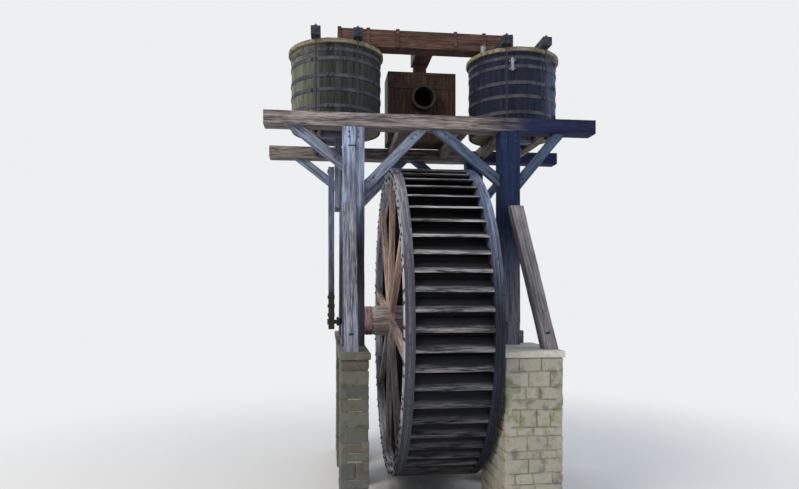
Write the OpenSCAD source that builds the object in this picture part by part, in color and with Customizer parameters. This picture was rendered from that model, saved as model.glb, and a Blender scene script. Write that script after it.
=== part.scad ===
// Blowing engine driven by a timber water wheel: wheel, cranks, connecting rods,
// two upright air tubs on a trestle of posts, rakers and beams, and masonry piers.
// Millimetres. X runs along the axle, -Y faces the front, Z is up.
// The origin is the middle of the base, at the foot of the piers.

/* [Wheel] */
// outside diameter of the wheel over its rims
wheel_d = 6700; // [6000:10:7400]
// clearance between the wheel and the floor of the pit
pit_gap = 250; // [200:10:450]
// clearance between the wheel and the underside of the main beams
headroom = 520; // [510:5:600]
// clear width of the buckets between the two rims
bucket_w = 1400; // [1200:10:1420]
// radial depth of each rim
rim_depth = 300; // [270:5:320]
// thickness of each rim, made of three layers of board
rim_t = 180; // [160:1:190]
// depth of the joint line between two rim layers
ply_groove = 6; // [2:1:10]
// width of the joint line between two rim layers
ply_line_w = 5; // [2:1:8]
// number of buckets round the wheel
bucket_count = 60; // [48:1:62]
// thickness of a bucket's slanted front board
front_board_t = 34; // [28:1:42]
// thickness of a bucket's floor board
floor_board_t = 30; // [24:1:36]
// thickness of the sole boards under the buckets
sole_t = 40; // [30:1:50]
// height of a bucket's floor board above the sole
bucket_floor_h = 80; // [60:1:100]
// distance round the rim from a bucket's elbow to its lip
lip_reach = 210; // [150:5:230]
// distance of a bucket's lip inside the rim's edge
lip_gap = 5; // [3:1:12]
// angle of the first bucket lip above the level of the axle
lip_turn = -0.5; // [-3:0.5:3]
// width of a wheel arm
arm_w = 220; // [160:5:240]
// thickness of a wheel arm along the axle
arm_t = 120; // [90:5:140]
// angle of the first arm above the level of the axle
arm_turn = -10; // [-22:1:22]
// clearance between an arm's ends and the shaft and rim
arm_end_gap = 0.3; // [0.2:0.1:1]

/* [Shaft and cranks] */
// width of the eight sided shaft across its flats
shaft_af = 620; // [580:5:640]
// length of the eight sided part of the shaft
shaft_flat_l = 2300; // [2200:10:2400]
// whole length of the timber shaft
shaft_l = 2900; // [2840:10:2960]
// width of an iron band round a shaft end
band_w = 54; // [40:1:60]
// thickness of an iron band
band_t = 12; // [8:1:16]
// distance from one band to the next
band_pitch = 72; // [64:1:80]
// distance of the last band from the shaft's end
band_inset = 30; // [20:1:40]
// diameter of the gudgeon that turns in the bearing
gudgeon_d = 140; // [110:2:150]
// radial clearance of the running iron parts
running_gap = 1; // [0.6:0.1:2]
// distance from the wheel's middle to the crank's inner face
crank_x = 1930; // [1920:1:1935]
// thickness of the crank's web
crank_web_t = 65; // [50:1:68]
// width of the crank's web
crank_web_w = 170; // [150:2:180]
// distance from the axle to the crank pin
crank_throw = 450; // [400:5:460]
// diameter of the crank pin
crank_pin_d = 90; // [70:2:96]
// diameter of the collar at the crank pin's end
crank_collar_d = 124; // [110:2:130]
// thickness of the collar at the crank pin's end
crank_collar_t = 22; // [16:1:30]

/* [Connecting rods] */
// distance from the wheel's middle to a rod's inner face
rod_x = 2045; // [2042:1:2050]
// thickness of a rod along the axle
rod_t = 130; // [110:2:140]
// width of a rod
rod_w = 130; // [124:2:136]
// distance of the wrist pin below the underside of the main beams
wrist_drop = 570; // [560:5:600]
// length of the rod below the crank pin's middle
rod_tail = 150; // [130:5:160]
// length of the rod above the wrist pin's middle
rod_nose = 90; // [80:5:100]
// diameter of the wrist pin
wrist_pin_d = 60; // [50:2:64]
// diameter of the head on the wrist pin
wrist_head_d = 96; // [84:2:104]
// thickness of the head on the wrist pin
wrist_head_t = 20; // [14:1:26]
// clearance between the wrist pin and the crosshead
wrist_gap = 7; // [6:1:9]
// thickness of the iron straps on the rod
strap_t = 8; // [6:1:9]
// width of a strap round the rod
strap_w = 60; // [50:2:70]
// height of the first strap above the crank pin
strap_first = 120; // [110:5:130]
// distance from one strap to the next
strap_pitch = 190; // [160:5:210]
// number of straps round the lower end of a rod
strap_count = 3; // [2:1:4]

/* [Trestle] */
// distance from the middle to the left posts' outer face
post_left_out = 1905; // [1900:1:1910]
// distance from the middle to the left posts' inner face
post_left_in = 1470; // [1460:5:1480]
// distance from the middle to the right posts' inner face
post_right_in = 1260; // [1250:5:1270]
// distance from the middle to the right posts' outer face
post_right_out = 1665; // [1655:5:1675]
// distance from the middle to the inner face of each frame
frame_in = 1300; // [1290:5:1310]
// thickness of each frame from front to back
frame_t = 400; // [380:5:410]
// height of the post feet below the axle
foot_drop = 420; // [400:5:430]
// width of the notch at the foot of the front right post
foot_notch_w = 140; // [100:5:160]
// height of the notch at the foot of the front right post
foot_notch_h = 470; // [300:10:500]
// distance from the middle to the front beam's left end
beam_front_left = 3420; // [3380:10:3460]
// distance from the middle to the front beam's right end
beam_front_right = 3250; // [3210:10:3290]
// distance from the middle to the rear beam's ends
beam_rear_reach = 3580; // [3540:10:3620]
// height of the main beams
beam_h = 280; // [270:5:290]
// width of a knee brace across its face
brace_w = 200; // [160:5:205]
// thickness of a knee brace
brace_t = 160; // [130:5:165]
// distance of the knee braces' middle outside the frame's inner face
brace_in = 240; // [230:5:250]
// drop of the left outer brace's foot below the beam
brace_left_out_drop = 710; // [670:10:750]
// distance from the middle to the left outer brace's head
brace_left_out_x = 2830; // [2780:10:2880]
// drop of the left inner brace's foot below the beam
brace_left_in_drop = 1170; // [1130:5:1180]
// distance from the middle to the left inner brace's head
brace_left_in_x = 340; // [330:5:400]
// drop of the right inner brace's foot below the beam
brace_right_in_drop = 980; // [950:5:985]
// distance from the middle to the right inner brace's head
brace_right_in_x = 30; // [25:5:100]
// drop of the right outer brace's foot below the beam
brace_right_out_drop = 1020; // [970:10:1070]
// distance from the middle to the right outer brace's head
brace_right_out_x = 2520; // [2480:10:2560]
// width of a raker
raker_w = 260; // [250:5:265]
// thickness of a raker from front to back
raker_t = 250; // [230:5:260]
// drop of the rakers' level heads below the beam
raker_head_drop = 1510; // [1470:10:1570]
// distance of a raker's head from the middle, front to back
raker_head_y = 1730; // [1720:5:1740]
// distance of a raker's foot from the middle, front to back
raker_foot_y = 2620; // [2580:5:2640]
// distance of the left rakers from the middle along the axle
raker_left_x = 1770; // [1765:1:1775]
// distance of the right rakers' heads from the middle along the axle
raker_right_head_x = 1560; // [1550:5:1570]
// distance of the right rakers' feet from the middle along the axle
raker_right_foot_x = 1925; // [1910:5:1930]
// width of a floor joist
joist_w = 200; // [180:2:210]
// height of a floor joist
joist_h = 220; // [200:5:240]
// distance of the joists under the air chest from the middle
chest_joist_x = 620; // [600:5:640]

/* [Piers and bearings] */
// height of a pale pier cap
cap_h = 120; // [90:5:150]
// distance a pier cap stands out over the masonry
cap_lip = 20; // [10:1:30]
// distance from the middle to the left piers' inner face
pier_left_in = 1440; // [1430:5:1450]
// distance from the middle to the left piers' outer face
pier_left_out = 2000; // [1990:5:2010]
// distance from the middle to the right piers' inner face
pier_right_in = 940; // [930:5:950]
// distance from the middle to the right piers' outer face
pier_right_out = 2085; // [2080:5:2100]
// distance from the middle to the piers' face under the frames
pier_near_y = 1200; // [1180:5:1210]
// distance from the middle to the piers' far face
pier_far_y = 3020; // [2990:5:3050]
// distance from the middle to the bearing piers' inner face
bearing_pier_in = 1430; // [1425:5:1440]
// distance from the middle to the bearing piers' outer face
bearing_pier_out = 1900; // [1880:5:1905]
// width of the bearing piers from front to back
bearing_pier_w = 900; // [800:10:1000]
// height of the bearing sills
sill_h = 260; // [250:5:270]
// distance from the middle to the sills' inner face
sill_in = 1500; // [1490:5:1505]
// distance from the middle to the sills' outer face
sill_out = 1860; // [1850:5:1865]
// distance from the middle to the bearing blocks' inner face
block_in = 1560; // [1550:5:1570]
// distance from the middle to the bearing blocks' outer face
block_out = 1800; // [1790:5:1810]
// width of a bearing block from front to back
block_w = 420; // [380:10:440]
// height of a bearing block's shoulder above the axle
block_rise = 30; // [20:2:40]
// radius of the rounded cap over the gudgeon
block_cap_r = 130; // [120:2:140]
// diameter of a bearing bolt's nut
block_nut_d = 50; // [40:2:56]
// height of a bearing bolt's nut
block_nut_h = 26; // [20:1:32]

/* [Air tubs] */
// distance from the middle to each tub's middle
tub_x = 2000; // [1990:1:2000]
// outside diameter of a tub
tub_d = 1950; // [1900:5:1960]
// thickness of the tub staves
stave_t = 50; // [40:1:60]
// height of a tub's wall
tub_h = 1630; // [1600:5:1650]
// width of an iron hoop
hoop_w = 75; // [60:1:80]
// thickness of an iron hoop
hoop_t = 10; // [8:1:14]
// thickness of a tub's bottom boards
tub_floor_t = 50; // [40:1:60]
// diameter of a tub's lid
lid_d = 2080; // [2040:5:2090]
// thickness of a tub's lid
lid_t = 80; // [60:1:90]
// distance of the lid bars from the tub's middle
bar_off = 430; // [420:5:440]
// width of a lid bar
bar_w = 200; // [180:5:210]
// height of a lid bar
bar_h = 180; // [170:5:190]
// length of a lid bar
bar_l = 2300; // [2250:5:2350]
// diameter of a tie rod
tie_d = 28; // [22:1:32]
// distance of the tie rods from the middle, front to back
tie_y = 1060; // [1055:1:1075]
// width of a square washer on a tie rod
washer_w = 90; // [80:2:100]
// thickness of a square washer
washer_t = 12; // [8:1:14]
// width of a square nut
tie_nut_w = 56; // [48:2:60]
// thickness of a square nut
tie_nut_t = 28; // [20:1:30]
// diameter of the piston rod
piston_rod_d = 70; // [60:2:76]
// diameter of the gland under a tub
gland_d = 190; // [170:5:200]
// height of the gland under a tub
gland_h = 60; // [50:5:70]
// clearance between the piston and the tub's staves
piston_gap = 10; // [6:1:14]
// thickness of the piston
piston_t = 90; // [70:5:110]
// height of the piston above the tub's bottom
piston_z = 620; // [500:10:800]
// height of a crosshead
crosshead_h = 220; // [200:5:240]
// width of a guide timber along the axle
guide_w = 140; // [130:2:142]
// depth of a guide timber from front to back
guide_d = 180; // [150:5:190]
// clear distance between the two guide timbers
guide_gap = 460; // [440:5:480]
// distance of the guides from the middle along the axle
guide_x = 1965; // [1960:1:1967]
// drop of the guides' lower ends below the beam
guide_drop = 1410; // [1370:10:1450]
// height of a guide header timber
header_h = 200; // [180:5:210]

/* [Air chest and duct] */
// width of the air chest
chest_w = 1600; // [1500:10:1640]
// depth of the air chest from front to back
chest_d = 800; // [780:5:800]
// height of the air chest
chest_h = 1610; // [1590:5:1630]
// thickness of the air chest's boards
chest_t = 60; // [50:1:70]
// diameter of the blast outlet's bore
outlet_bore = 450; // [400:5:460]
// wall thickness of the blast outlet
outlet_wall = 15; // [10:1:20]
// height of the blast outlet above the trestle's floor
outlet_z = 950; // [900:10:1000]
// length the blast outlet stands out from the chest
outlet_l = 300; // [250:5:320]
// width of the rings on the blast outlet
outlet_ring = 55; // [40:5:60]
// thickness of the rings on the blast outlet
outlet_ring_t = 25; // [16:1:30]
// length of the air duct over the tubs
duct_l = 3900; // [3880:5:3920]
// width of the air duct
duct_w = 400; // [360:5:410]
// height of the air duct
duct_h = 380; // [340:5:390]
// thickness of the air duct's boards
duct_t = 40; // [30:1:45]
// width of a down leg of the duct along the axle
leg_w = 200; // [180:5:210]
// depth of a down leg of the duct from front to back
leg_d = 300; // [280:5:310]
// distance of the down legs from the middle
leg_x = 1800; // [1780:5:1805]

/* [Hidden] */
$fn = 96;
eps = 1;
rim_r = wheel_d / 2;
rim_in_r = rim_r - rim_depth;
rim_x = bucket_w / 2 + rim_t / 2;
axle_h = rim_r + pit_gap;
post_rise = rim_r + headroom;
wrist_h = post_rise - wrist_drop;
raker_head_z = post_rise - raker_head_drop;
guide_low = post_rise - guide_drop;
brace_y = frame_in + brace_in;
ply_t = rim_t / 3;
half_turn = 180;
full_turn = 360;
quarter_turn = 90;
bucket_pitch = full_turn / bucket_count;
sole_out_r = rim_in_r + sole_t;
elbow_r = sole_out_r + bucket_floor_h;
lip_r = rim_r - lip_gap;
lip_lead = asin(lip_reach / lip_r);
lip_x = lip_r * cos(lip_lead);
slant = atan((lip_r * sin(lip_lead)) / (lip_x - elbow_r));
lip_half = front_board_t / cos(slant) / 2;
sole_seam = 1;
sole_half_in = rim_in_r * tan(bucket_pitch / 2) - sole_seam;
sole_half_out = sole_out_r * tan(bucket_pitch / 2) - sole_seam;
arm_count = 8;
arm_pitch = full_turn / arm_count;
arm_end_r = sqrt(pow(rim_in_r, 2) - pow(arm_w / 2, 2)) - arm_end_gap;
shaft_r = shaft_af / 2;
shaft_corner_r = shaft_r / cos(arm_pitch / 2);
shaft_round_r = shaft_r - 2;
shaft_half = shaft_l / 2;
band_fit = 0.3;
bands_per_end = 3;
gudgeon_r = gudgeon_d / 2;
crank_pin_r = crank_pin_d / 2;
crank_out = crank_x + crank_web_t;
rod_out = rod_x + rod_t;
rod_lean = atan(crank_throw / wrist_h);
rod_len = sqrt(crank_throw * crank_throw + wrist_h * wrist_h);
wrist_pin_r = wrist_pin_d / 2;
pin_fit = 0.3;
guide_out = guide_x + guide_w / 2;
floor_z = axle_h + post_rise + beam_h;
beam_z = axle_h + post_rise;
foot_z = axle_h - foot_drop;
post_h = post_rise + foot_drop;
frame_out = frame_in + frame_t;
raker_lean = atan((raker_foot_y - raker_head_y) / (raker_head_z + foot_drop));
raker_side = atan((raker_right_foot_x - raker_right_head_x) / (raker_head_z + foot_drop));
raker_long = 4 * raker_head_z;
raker_rise = raker_head_z + foot_drop;
pier_h = foot_z - cap_h;
sill_z = foot_z + sill_h;
block_h = axle_h + block_rise - sill_z;
tub_r = tub_d / 2;
lid_r = lid_d / 2;
lid_z = floor_z + tub_h;
bar_z = lid_z + lid_t;
duct_z = bar_z + bar_h;
hoop_fit = 0.3;
hoop_steps = [0.062, 0.205, 0.415, 0.593, 0.807, 0.92];
tie_r = tie_d / 2;
tie_fit = 1;
joist_z = floor_z - joist_h;
header_z = floor_z - header_h;
piston_rod_r = piston_rod_d / 2;
crosshead_z = axle_h + wrist_h - crosshead_h / 2;
piston_low = floor_z + tub_floor_t + piston_z;
chest_y = frame_in - chest_d;
chest_top = floor_z + chest_h;
outlet_r = outlet_bore / 2;
outlet_out_r = outlet_r + outlet_wall;
leg_hole_w = leg_w - 2 * duct_t;
leg_hole_d = leg_d - 2 * duct_t;
chest_leg_y = chest_y + chest_d / 2;

// a profile drawn in the Y-Z plane, drawn out along the axle, about the axle's middle
module along_axle(length) {
    translate([0, 0, axle_h])
        rotate([quarter_turn, 0, quarter_turn])
            linear_extrude(height = length, center = true)
                children();
}

// a box given by its low corner and its high corner
module span(low, high) {
    translate(low)
        cube(high - low);
}

// both ends of the axle: the shape and its mirror image across X
module both_ends() {
    children();
    mirror([1, 0, 0])
        children();
}

// front and rear: the shape and its mirror image across Y
module both_frames() {
    children();
    mirror([0, 1, 0])
        children();
}

module pier(near_x, far_x) {
    span([near_x + cap_lip, -pier_far_y + cap_lip, 0],
        [far_x - cap_lip, -pier_near_y - cap_lip, pier_h]);
}

module pier_front_left() {
    color("Gray")
        pier(-pier_left_out, -pier_left_in);
}

module pier_front_right() {
    color("Gray")
        pier(pier_right_in, pier_right_out);
}

module pier_rear_left() {
    color("Gray")
        mirror([0, 1, 0])
            pier(-pier_left_out, -pier_left_in);
}

module pier_rear_right() {
    color("Gray")
        mirror([0, 1, 0])
            pier(pier_right_in, pier_right_out);
}

module piers_bearing() {
    color("Gray")
        both_ends()
            span([bearing_pier_in, -bearing_pier_w / 2, 0],
                [bearing_pier_out, bearing_pier_w / 2, pier_h]);
}

module pier_caps() {
    color("Beige") {
        both_frames() {
            span([-pier_left_out, -pier_far_y, pier_h], [-pier_left_in, -pier_near_y, foot_z]);
            span([pier_right_in, -pier_far_y, pier_h], [pier_right_out, -pier_near_y, foot_z]);
        }
        both_ends()
            span([bearing_pier_in, -bearing_pier_w / 2, pier_h],
                [bearing_pier_out, bearing_pier_w / 2, foot_z]);
    }
}

// a front raker from its foot on the pier to its level head in the post
module raker(foot_x, side_lean) {
    intersection() {
        translate([foot_x, -raker_foot_y, foot_z])
            rotate([-raker_lean, 0, 0])
                rotate([0, side_lean, 0])
                    cube([raker_w, raker_t, raker_long], center = true);
        span([foot_x - raker_long, -frame_out - raker_foot_y, foot_z],
            [foot_x + raker_long, 0, foot_z + raker_rise]);
    }
}

module rakers() {
    raker(-raker_left_x, 0);
    raker(raker_right_foot_x, -raker_side);
}

module rakers_front() {
    color("SlateGray")
        rakers();
}

module rakers_rear() {
    color("SlateGray")
        mirror([0, 1, 0])
            rakers();
}

module left_post() {
    difference() {
        span([-post_left_out, -frame_out, foot_z], [-post_left_in, -frame_in, foot_z + post_h]);
        rakers();
    }
}

module right_post() {
    difference() {
        span([post_right_in, -frame_out, foot_z], [post_right_out, -frame_in, foot_z + post_h]);
        rakers();
    }
}

module post_front_left() {
    color("SlateGray")
        left_post();
}

module post_front_right() {
    color("SlateGray")
        difference() {
            right_post();
            span([post_right_in - eps, -frame_out - eps, foot_z - eps],
                [post_right_in + foot_notch_w, -frame_in + eps, foot_z + foot_notch_h]);
        }
}

module post_rear_left() {
    color("SlateGray")
        mirror([0, 1, 0])
            left_post();
}

module post_rear_right() {
    color("SlateGray")
        mirror([0, 1, 0])
            right_post();
}

module beam_front() {
    color("DimGray")
        span([-beam_front_left, -frame_out, beam_z], [beam_front_right, -frame_in, floor_z]);
}

module beam_rear() {
    color("DimGray")
        span([-beam_rear_reach, frame_in, beam_z], [beam_rear_reach, frame_out, floor_z]);
}

// a knee brace: its foot is cut to the post's face and its head to the beam's underside
module brace(post_x, rise, head_x) {
    run = abs(head_x - post_x);
    brace_z = post_rise - rise;
    slope = sqrt(run * run + rise * rise);
    foot_half = brace_w * slope / run / 2;
    head_half = brace_w * slope / rise / 2;
    way = sign(head_x - post_x);
    translate([0, brace_t / 2 - brace_y, axle_h])
        rotate([quarter_turn, 0, 0])
            linear_extrude(height = brace_t)
                polygon([[post_x, brace_z - foot_half],
                    [head_x + way * head_half, post_rise],
                    [head_x - way * head_half, post_rise],
                    [post_x, brace_z + foot_half]]);
}

module braces() {
    brace(-post_left_out, brace_left_out_drop, -brace_left_out_x);
    brace(-post_left_in, brace_left_in_drop, -brace_left_in_x);
    brace(post_right_in, brace_right_in_drop, brace_right_in_x);
    brace(post_right_out, brace_right_out_drop, brace_right_out_x);
}

module braces_front() {
    color("LightSlateGray")
        braces();
}

module braces_rear() {
    color("LightSlateGray")
        mirror([0, 1, 0])
            braces();
}

// tie rod places: two on each lid bar, on both tubs
module at_ties() {
    both_ends()
        both_frames()
            for (side = [-1, 1])
                translate([tub_x + side * bar_off, -tie_y, 0])
                    children();
}

module floor_joists() {
    color("DimGray")
        difference() {
            both_ends() {
                for (mid = [tub_x - bar_off, tub_x + bar_off, chest_joist_x])
                    span([mid - joist_w / 2, -frame_in, joist_z],
                        [mid + joist_w / 2, frame_in, floor_z]);
            }
            at_ties()
                translate([0, 0, joist_z - eps])
                    cylinder(h = joist_h + 2 * eps, r = tie_r + tie_fit);
        }
}

// guide timbers for the crossheads, hung under headers between two joists
module guides() {
    color("DimGray")
        both_ends()
            both_frames() {
                span([tub_x - bar_off + joist_w / 2, -guide_gap / 2 - guide_d, header_z],
                    [tub_x + bar_off - joist_w / 2, -guide_gap / 2, floor_z]);
                span([guide_x - guide_w / 2, -guide_gap / 2 - guide_d, axle_h + guide_low],
                    [guide_out, -guide_gap / 2, header_z]);
            }
}

module bearing_sills() {
    color("DimGray")
        both_ends()
            span([sill_in, -frame_in, foot_z], [sill_out, frame_in, sill_z]);
}

module bearings() {
    color("DarkSlateGray")
        both_ends()
            difference() {
                union() {
                    span([block_in, -block_w / 2, sill_z],
                        [block_out, block_w / 2, sill_z + block_h]);
                    translate([block_in, 0, axle_h])
                        rotate([0, quarter_turn, 0])
                            cylinder(h = block_out - block_in, r = block_cap_r);
                    both_frames()
                        translate([(block_in + block_out) / 2,
                                -(block_w / 2 + block_cap_r) / 2, sill_z + block_h])
                            cylinder(h = block_nut_h, d = block_nut_d, $fn = 6);
                }
                translate([block_in - eps, 0, axle_h])
                    rotate([0, quarter_turn, 0])
                        cylinder(h = block_out - block_in + 2 * eps, r = gudgeon_r + running_gap);
            }
}

module tub_wall() {
    translate([tub_x, 0, floor_z])
        difference() {
            cylinder(h = tub_h, r = tub_r);
            translate([0, 0, -eps])
                cylinder(h = tub_h + 2 * eps, r = tub_r - stave_t);
        }
}

module tub_left() {
    color("DarkSlateGray")
        mirror([1, 0, 0])
            tub_wall();
}

module tub_right() {
    color("DarkSlateBlue")
        tub_wall();
}

module tub_hoops() {
    color("LightSlateGray")
        both_ends()
            for (step = hoop_steps)
                translate([tub_x, 0, floor_z + step * tub_h - hoop_w / 2])
                    difference() {
                        cylinder(h = hoop_w, r = tub_r + hoop_fit + hoop_t);
                        translate([0, 0, -eps])
                            cylinder(h = hoop_w + 2 * eps, r = tub_r + hoop_fit);
                    }
}

// bottom boards set inside the staves, with the gland that guides the piston rod
module tub_floors() {
    color("SaddleBrown")
        both_ends()
            translate([tub_x, 0, floor_z])
                difference() {
                    union() {
                        cylinder(h = tub_floor_t, r = tub_r - stave_t - hoop_fit);
                        translate([0, 0, -gland_h])
                            cylinder(h = gland_h + eps, r = gland_d / 2);
                    }
                    translate([0, 0, -gland_h - eps])
                        cylinder(h = gland_h + tub_floor_t + 2 * eps, r = piston_rod_r + running_gap);
                }
}

module tub_lids() {
    color("Tan")
        both_ends()
            difference() {
                translate([tub_x, 0, lid_z])
                    cylinder(h = lid_t, r = lid_r);
                span([leg_x - leg_hole_w / 2, -leg_hole_d / 2, lid_z - eps],
                    [leg_x + leg_hole_w / 2, leg_hole_d / 2, bar_z + eps]);
            }
}

module lid_bars() {
    color("DimGray")
        difference() {
            both_ends()
                for (side = [-1, 1])
                    translate([tub_x + side * bar_off, 0, bar_z + bar_h / 2])
                        cube([bar_w, bar_l, bar_h], center = true);
            at_ties()
                translate([0, 0, bar_z - eps])
                    cylinder(h = bar_h + 2 * eps, r = tie_r + tie_fit);
        }
}

module tie_end() {
    translate([0, 0, washer_t / 2])
        cube([washer_w, washer_w, washer_t], center = true);
    translate([0, 0, washer_t + tie_nut_t / 2])
        cube([tie_nut_w, tie_nut_w, tie_nut_t], center = true);
    cylinder(h = washer_t + 2 * tie_nut_t, r = tie_r);
}

module tie_rods() {
    color("DarkSlateGray")
        at_ties() {
            translate([0, 0, joist_z])
                cylinder(h = duct_z - joist_z, r = tie_r);
            translate([0, 0, duct_z])
                tie_end();
            translate([0, 0, joist_z])
                mirror([0, 0, 1])
                    tie_end();
        }
}

module air_chest() {
    color("SaddleBrown")
        difference() {
            span([-chest_w / 2, chest_y, floor_z + chest_t],
                [chest_w / 2, frame_in, chest_top - chest_t]);
            span([-chest_w / 2 + chest_t, chest_y + chest_t, floor_z],
                [chest_w / 2 - chest_t, frame_in - chest_t, chest_top]);
            translate([0, chest_y + chest_t + eps, floor_z + outlet_z])
                rotate([quarter_turn, 0, 0])
                    cylinder(h = chest_t + 2 * eps, r = outlet_out_r + tie_fit);
        }
}

module air_chest_covers() {
    color("SaddleBrown") {
        span([-chest_w / 2, chest_y, floor_z], [chest_w / 2, frame_in, floor_z + chest_t]);
        difference() {
            span([-chest_w / 2, chest_y, chest_top - chest_t], [chest_w / 2, frame_in, chest_top]);
            span([-leg_hole_d / 2, chest_leg_y - leg_hole_w / 2, chest_top - 2 * chest_t],
                [leg_hole_d / 2, chest_leg_y + leg_hole_w / 2, chest_top + eps]);
        }
    }
}

// boarded duct over both tubs, with a leg down to each lid and one to the chest
module air_duct() {
    color("Sienna")
        difference() {
            union() {
                span([-duct_l / 2, -duct_w / 2, duct_z], [duct_l / 2, duct_w / 2, duct_z + duct_h]);
                span([-duct_w / 2, 0, duct_z],
                    [duct_w / 2, chest_leg_y + leg_w / 2, duct_z + duct_h]);
                span([-leg_d / 2, chest_leg_y - leg_w / 2, chest_top],
                    [leg_d / 2, chest_leg_y + leg_w / 2, duct_z + duct_t]);
                both_ends()
                    span([leg_x - leg_w / 2, -leg_d / 2, bar_z],
                        [leg_x + leg_w / 2, leg_d / 2, duct_z + duct_t]);
            }
            span([-duct_l / 2 + duct_t, -duct_w / 2 + duct_t, duct_z + duct_t],
                [duct_l / 2 - duct_t, duct_w / 2 - duct_t, duct_z + duct_h - duct_t]);
            span([-duct_w / 2 + duct_t, 0, duct_z + duct_t],
                [duct_w / 2 - duct_t, chest_leg_y + leg_w / 2 - duct_t, duct_z + duct_h - duct_t]);
            span([-leg_hole_d / 2, chest_leg_y - leg_hole_w / 2, chest_top - eps],
                [leg_hole_d / 2, chest_leg_y + leg_hole_w / 2, duct_z + 2 * duct_t]);
            both_ends()
                span([leg_x - leg_hole_w / 2, -leg_hole_d / 2, bar_z - eps],
                    [leg_x + leg_hole_w / 2, leg_hole_d / 2, duct_z + 2 * duct_t]);
        }
}

module blast_outlet() {
    color("DarkSlateGray")
        translate([0, chest_y, floor_z + outlet_z])
            rotate([quarter_turn, 0, 0])
                difference() {
                    union() {
                        translate([0, 0, -chest_t])
                            cylinder(h = outlet_l + chest_t, r = outlet_out_r);
                        cylinder(h = outlet_ring_t, r = outlet_r + outlet_ring);
                        translate([0, 0, outlet_l - outlet_ring_t])
                            cylinder(h = outlet_ring_t, r = outlet_r + outlet_ring);
                    }
                    translate([0, 0, -chest_t - eps])
                        cylinder(h = outlet_l + chest_t + 2 * eps, r = outlet_r);
                }
}

// crosshead between the guides, piston rod through the gland, piston inside the tub
module piston() {
    span([guide_x - guide_w / 2, -guide_gap / 2, crosshead_z],
        [guide_out, guide_gap / 2, crosshead_z + crosshead_h]);
    translate([tub_x, 0, crosshead_z + crosshead_h - eps])
        cylinder(h = piston_low - crosshead_z - crosshead_h + 2 * eps, r = piston_rod_r);
    translate([tub_x, 0, piston_low])
        cylinder(h = piston_t, r = tub_r - stave_t - piston_gap);
}

module piston_left() {
    color("DarkSlateGray")
        mirror([1, 0, 0])
            piston();
}

module piston_right() {
    color("DarkSlateGray")
        piston();
}

module shaft() {
    color("Tan")
        union() {
            along_axle(shaft_flat_l)
                rotate(half_turn - arm_turn + arm_pitch / 2)
                    circle(r = shaft_corner_r, $fn = 8);
            along_axle(shaft_l)
                circle(r = shaft_round_r);
        }
}

module shaft_bands() {
    color("RosyBrown")
        both_ends()
            for (step = [0 : bands_per_end - 1])
                translate([shaft_half - band_inset - band_w / 2 - step * band_pitch, 0, 0])
                    along_axle(band_w)
                        difference() {
                            circle(r = shaft_round_r + band_fit + band_t);
                            circle(r = shaft_round_r + band_fit);
                        }
}

// gudgeon, web and pin of one crank, on the right, its pin turned to the rear
module crank() {
    translate([(shaft_half + crank_x) / 2, 0, 0])
        along_axle(crank_x - shaft_half)
            circle(r = gudgeon_r);
    translate([(crank_x + crank_out) / 2, 0, 0])
        along_axle(crank_web_t)
            union() {
                circle(r = crank_web_w / 2);
                translate([crank_throw, 0])
                    circle(r = crank_web_w / 2);
                translate([0, -crank_web_w / 2])
                    square([crank_throw, crank_web_w]);
            }
    translate([(crank_out + rod_out + crank_collar_t) / 2, 0, 0])
        along_axle(rod_out + crank_collar_t - crank_out)
            translate([crank_throw, 0])
                circle(r = crank_pin_r);
    translate([rod_out + running_gap + crank_collar_t / 2, 0, 0])
        along_axle(crank_collar_t)
            translate([crank_throw, 0])
                circle(r = crank_collar_d / 2);
}

module crank_left() {
    color("DarkSlateGray")
        rotate(half_turn)
            crank();
}

module crank_right() {
    color("DarkSlateGray")
        crank();
}

// the eight arms of one side, from the shaft's flats to the rim
module arms() {
    translate([rim_x, 0, 0])
        along_axle(arm_t)
            for (turn = [0 : arm_count - 1])
                rotate(half_turn - arm_turn - turn * arm_pitch)
                    translate([shaft_r + arm_end_gap, -arm_w / 2])
                        square([arm_end_r - shaft_r - arm_end_gap, arm_w]);
}

module arms_left() {
    color("SaddleBrown")
        mirror([1, 0, 0])
            arms();
}

module arms_right() {
    color("SaddleBrown")
        arms();
}

// one rim ring of three layers, with a fine joint line between them
module rim() {
    translate([rim_x, 0, 0]) {
        difference() {
            along_axle(rim_t)
                difference() {
                    circle(r = rim_r);
                    circle(r = rim_in_r);
                }
            for (side = [-1, 1])
                translate([side * ply_t / 2, 0, 0])
                    along_axle(ply_line_w)
                        difference() {
                            circle(r = rim_r + eps);
                            circle(r = rim_r - ply_groove);
                        }
        }
    }
}

module rim_left() {
    color("LightGray")
        mirror([1, 0, 0])
            rim();
}

module rim_right() {
    color("SlateGray")
        rim();
}

// places of the buckets: X of the profile points out from the axle through a floor board
module at_buckets() {
    for (turn = [0 : bucket_count - 1])
        rotate(half_turn - lip_turn - turn * bucket_pitch - lip_lead)
            children();
}

module sole_boards() {
    color("SaddleBrown")
        along_axle(bucket_w)
            at_buckets()
                polygon([[rim_in_r, -sole_half_in], [sole_out_r, -sole_half_out],
                    [sole_out_r, sole_half_out], [rim_in_r, sole_half_in]]);
}

module bucket_fronts() {
    color("DimGray")
        along_axle(bucket_w)
            at_buckets()
                polygon([[elbow_r, -lip_half],
                    [sqrt(pow(lip_r, 2) - pow(lip_reach - lip_half, 2)), lip_reach - lip_half],
                    [sqrt(pow(lip_r, 2) - pow(lip_reach + lip_half, 2)), lip_reach + lip_half],
                    [elbow_r, lip_half]]);
}

module bucket_floors() {
    color("DimGray")
        along_axle(bucket_w)
            at_buckets()
                translate([sole_out_r, -floor_board_t / 2])
                    square([bucket_floor_h, floor_board_t]);
}

// the frame of one right connecting rod: origin at the crank pin, Z up the rod
module on_rod() {
    translate([0, crank_throw, axle_h])
        rotate([rod_lean, 0, 0])
            children();
}

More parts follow.
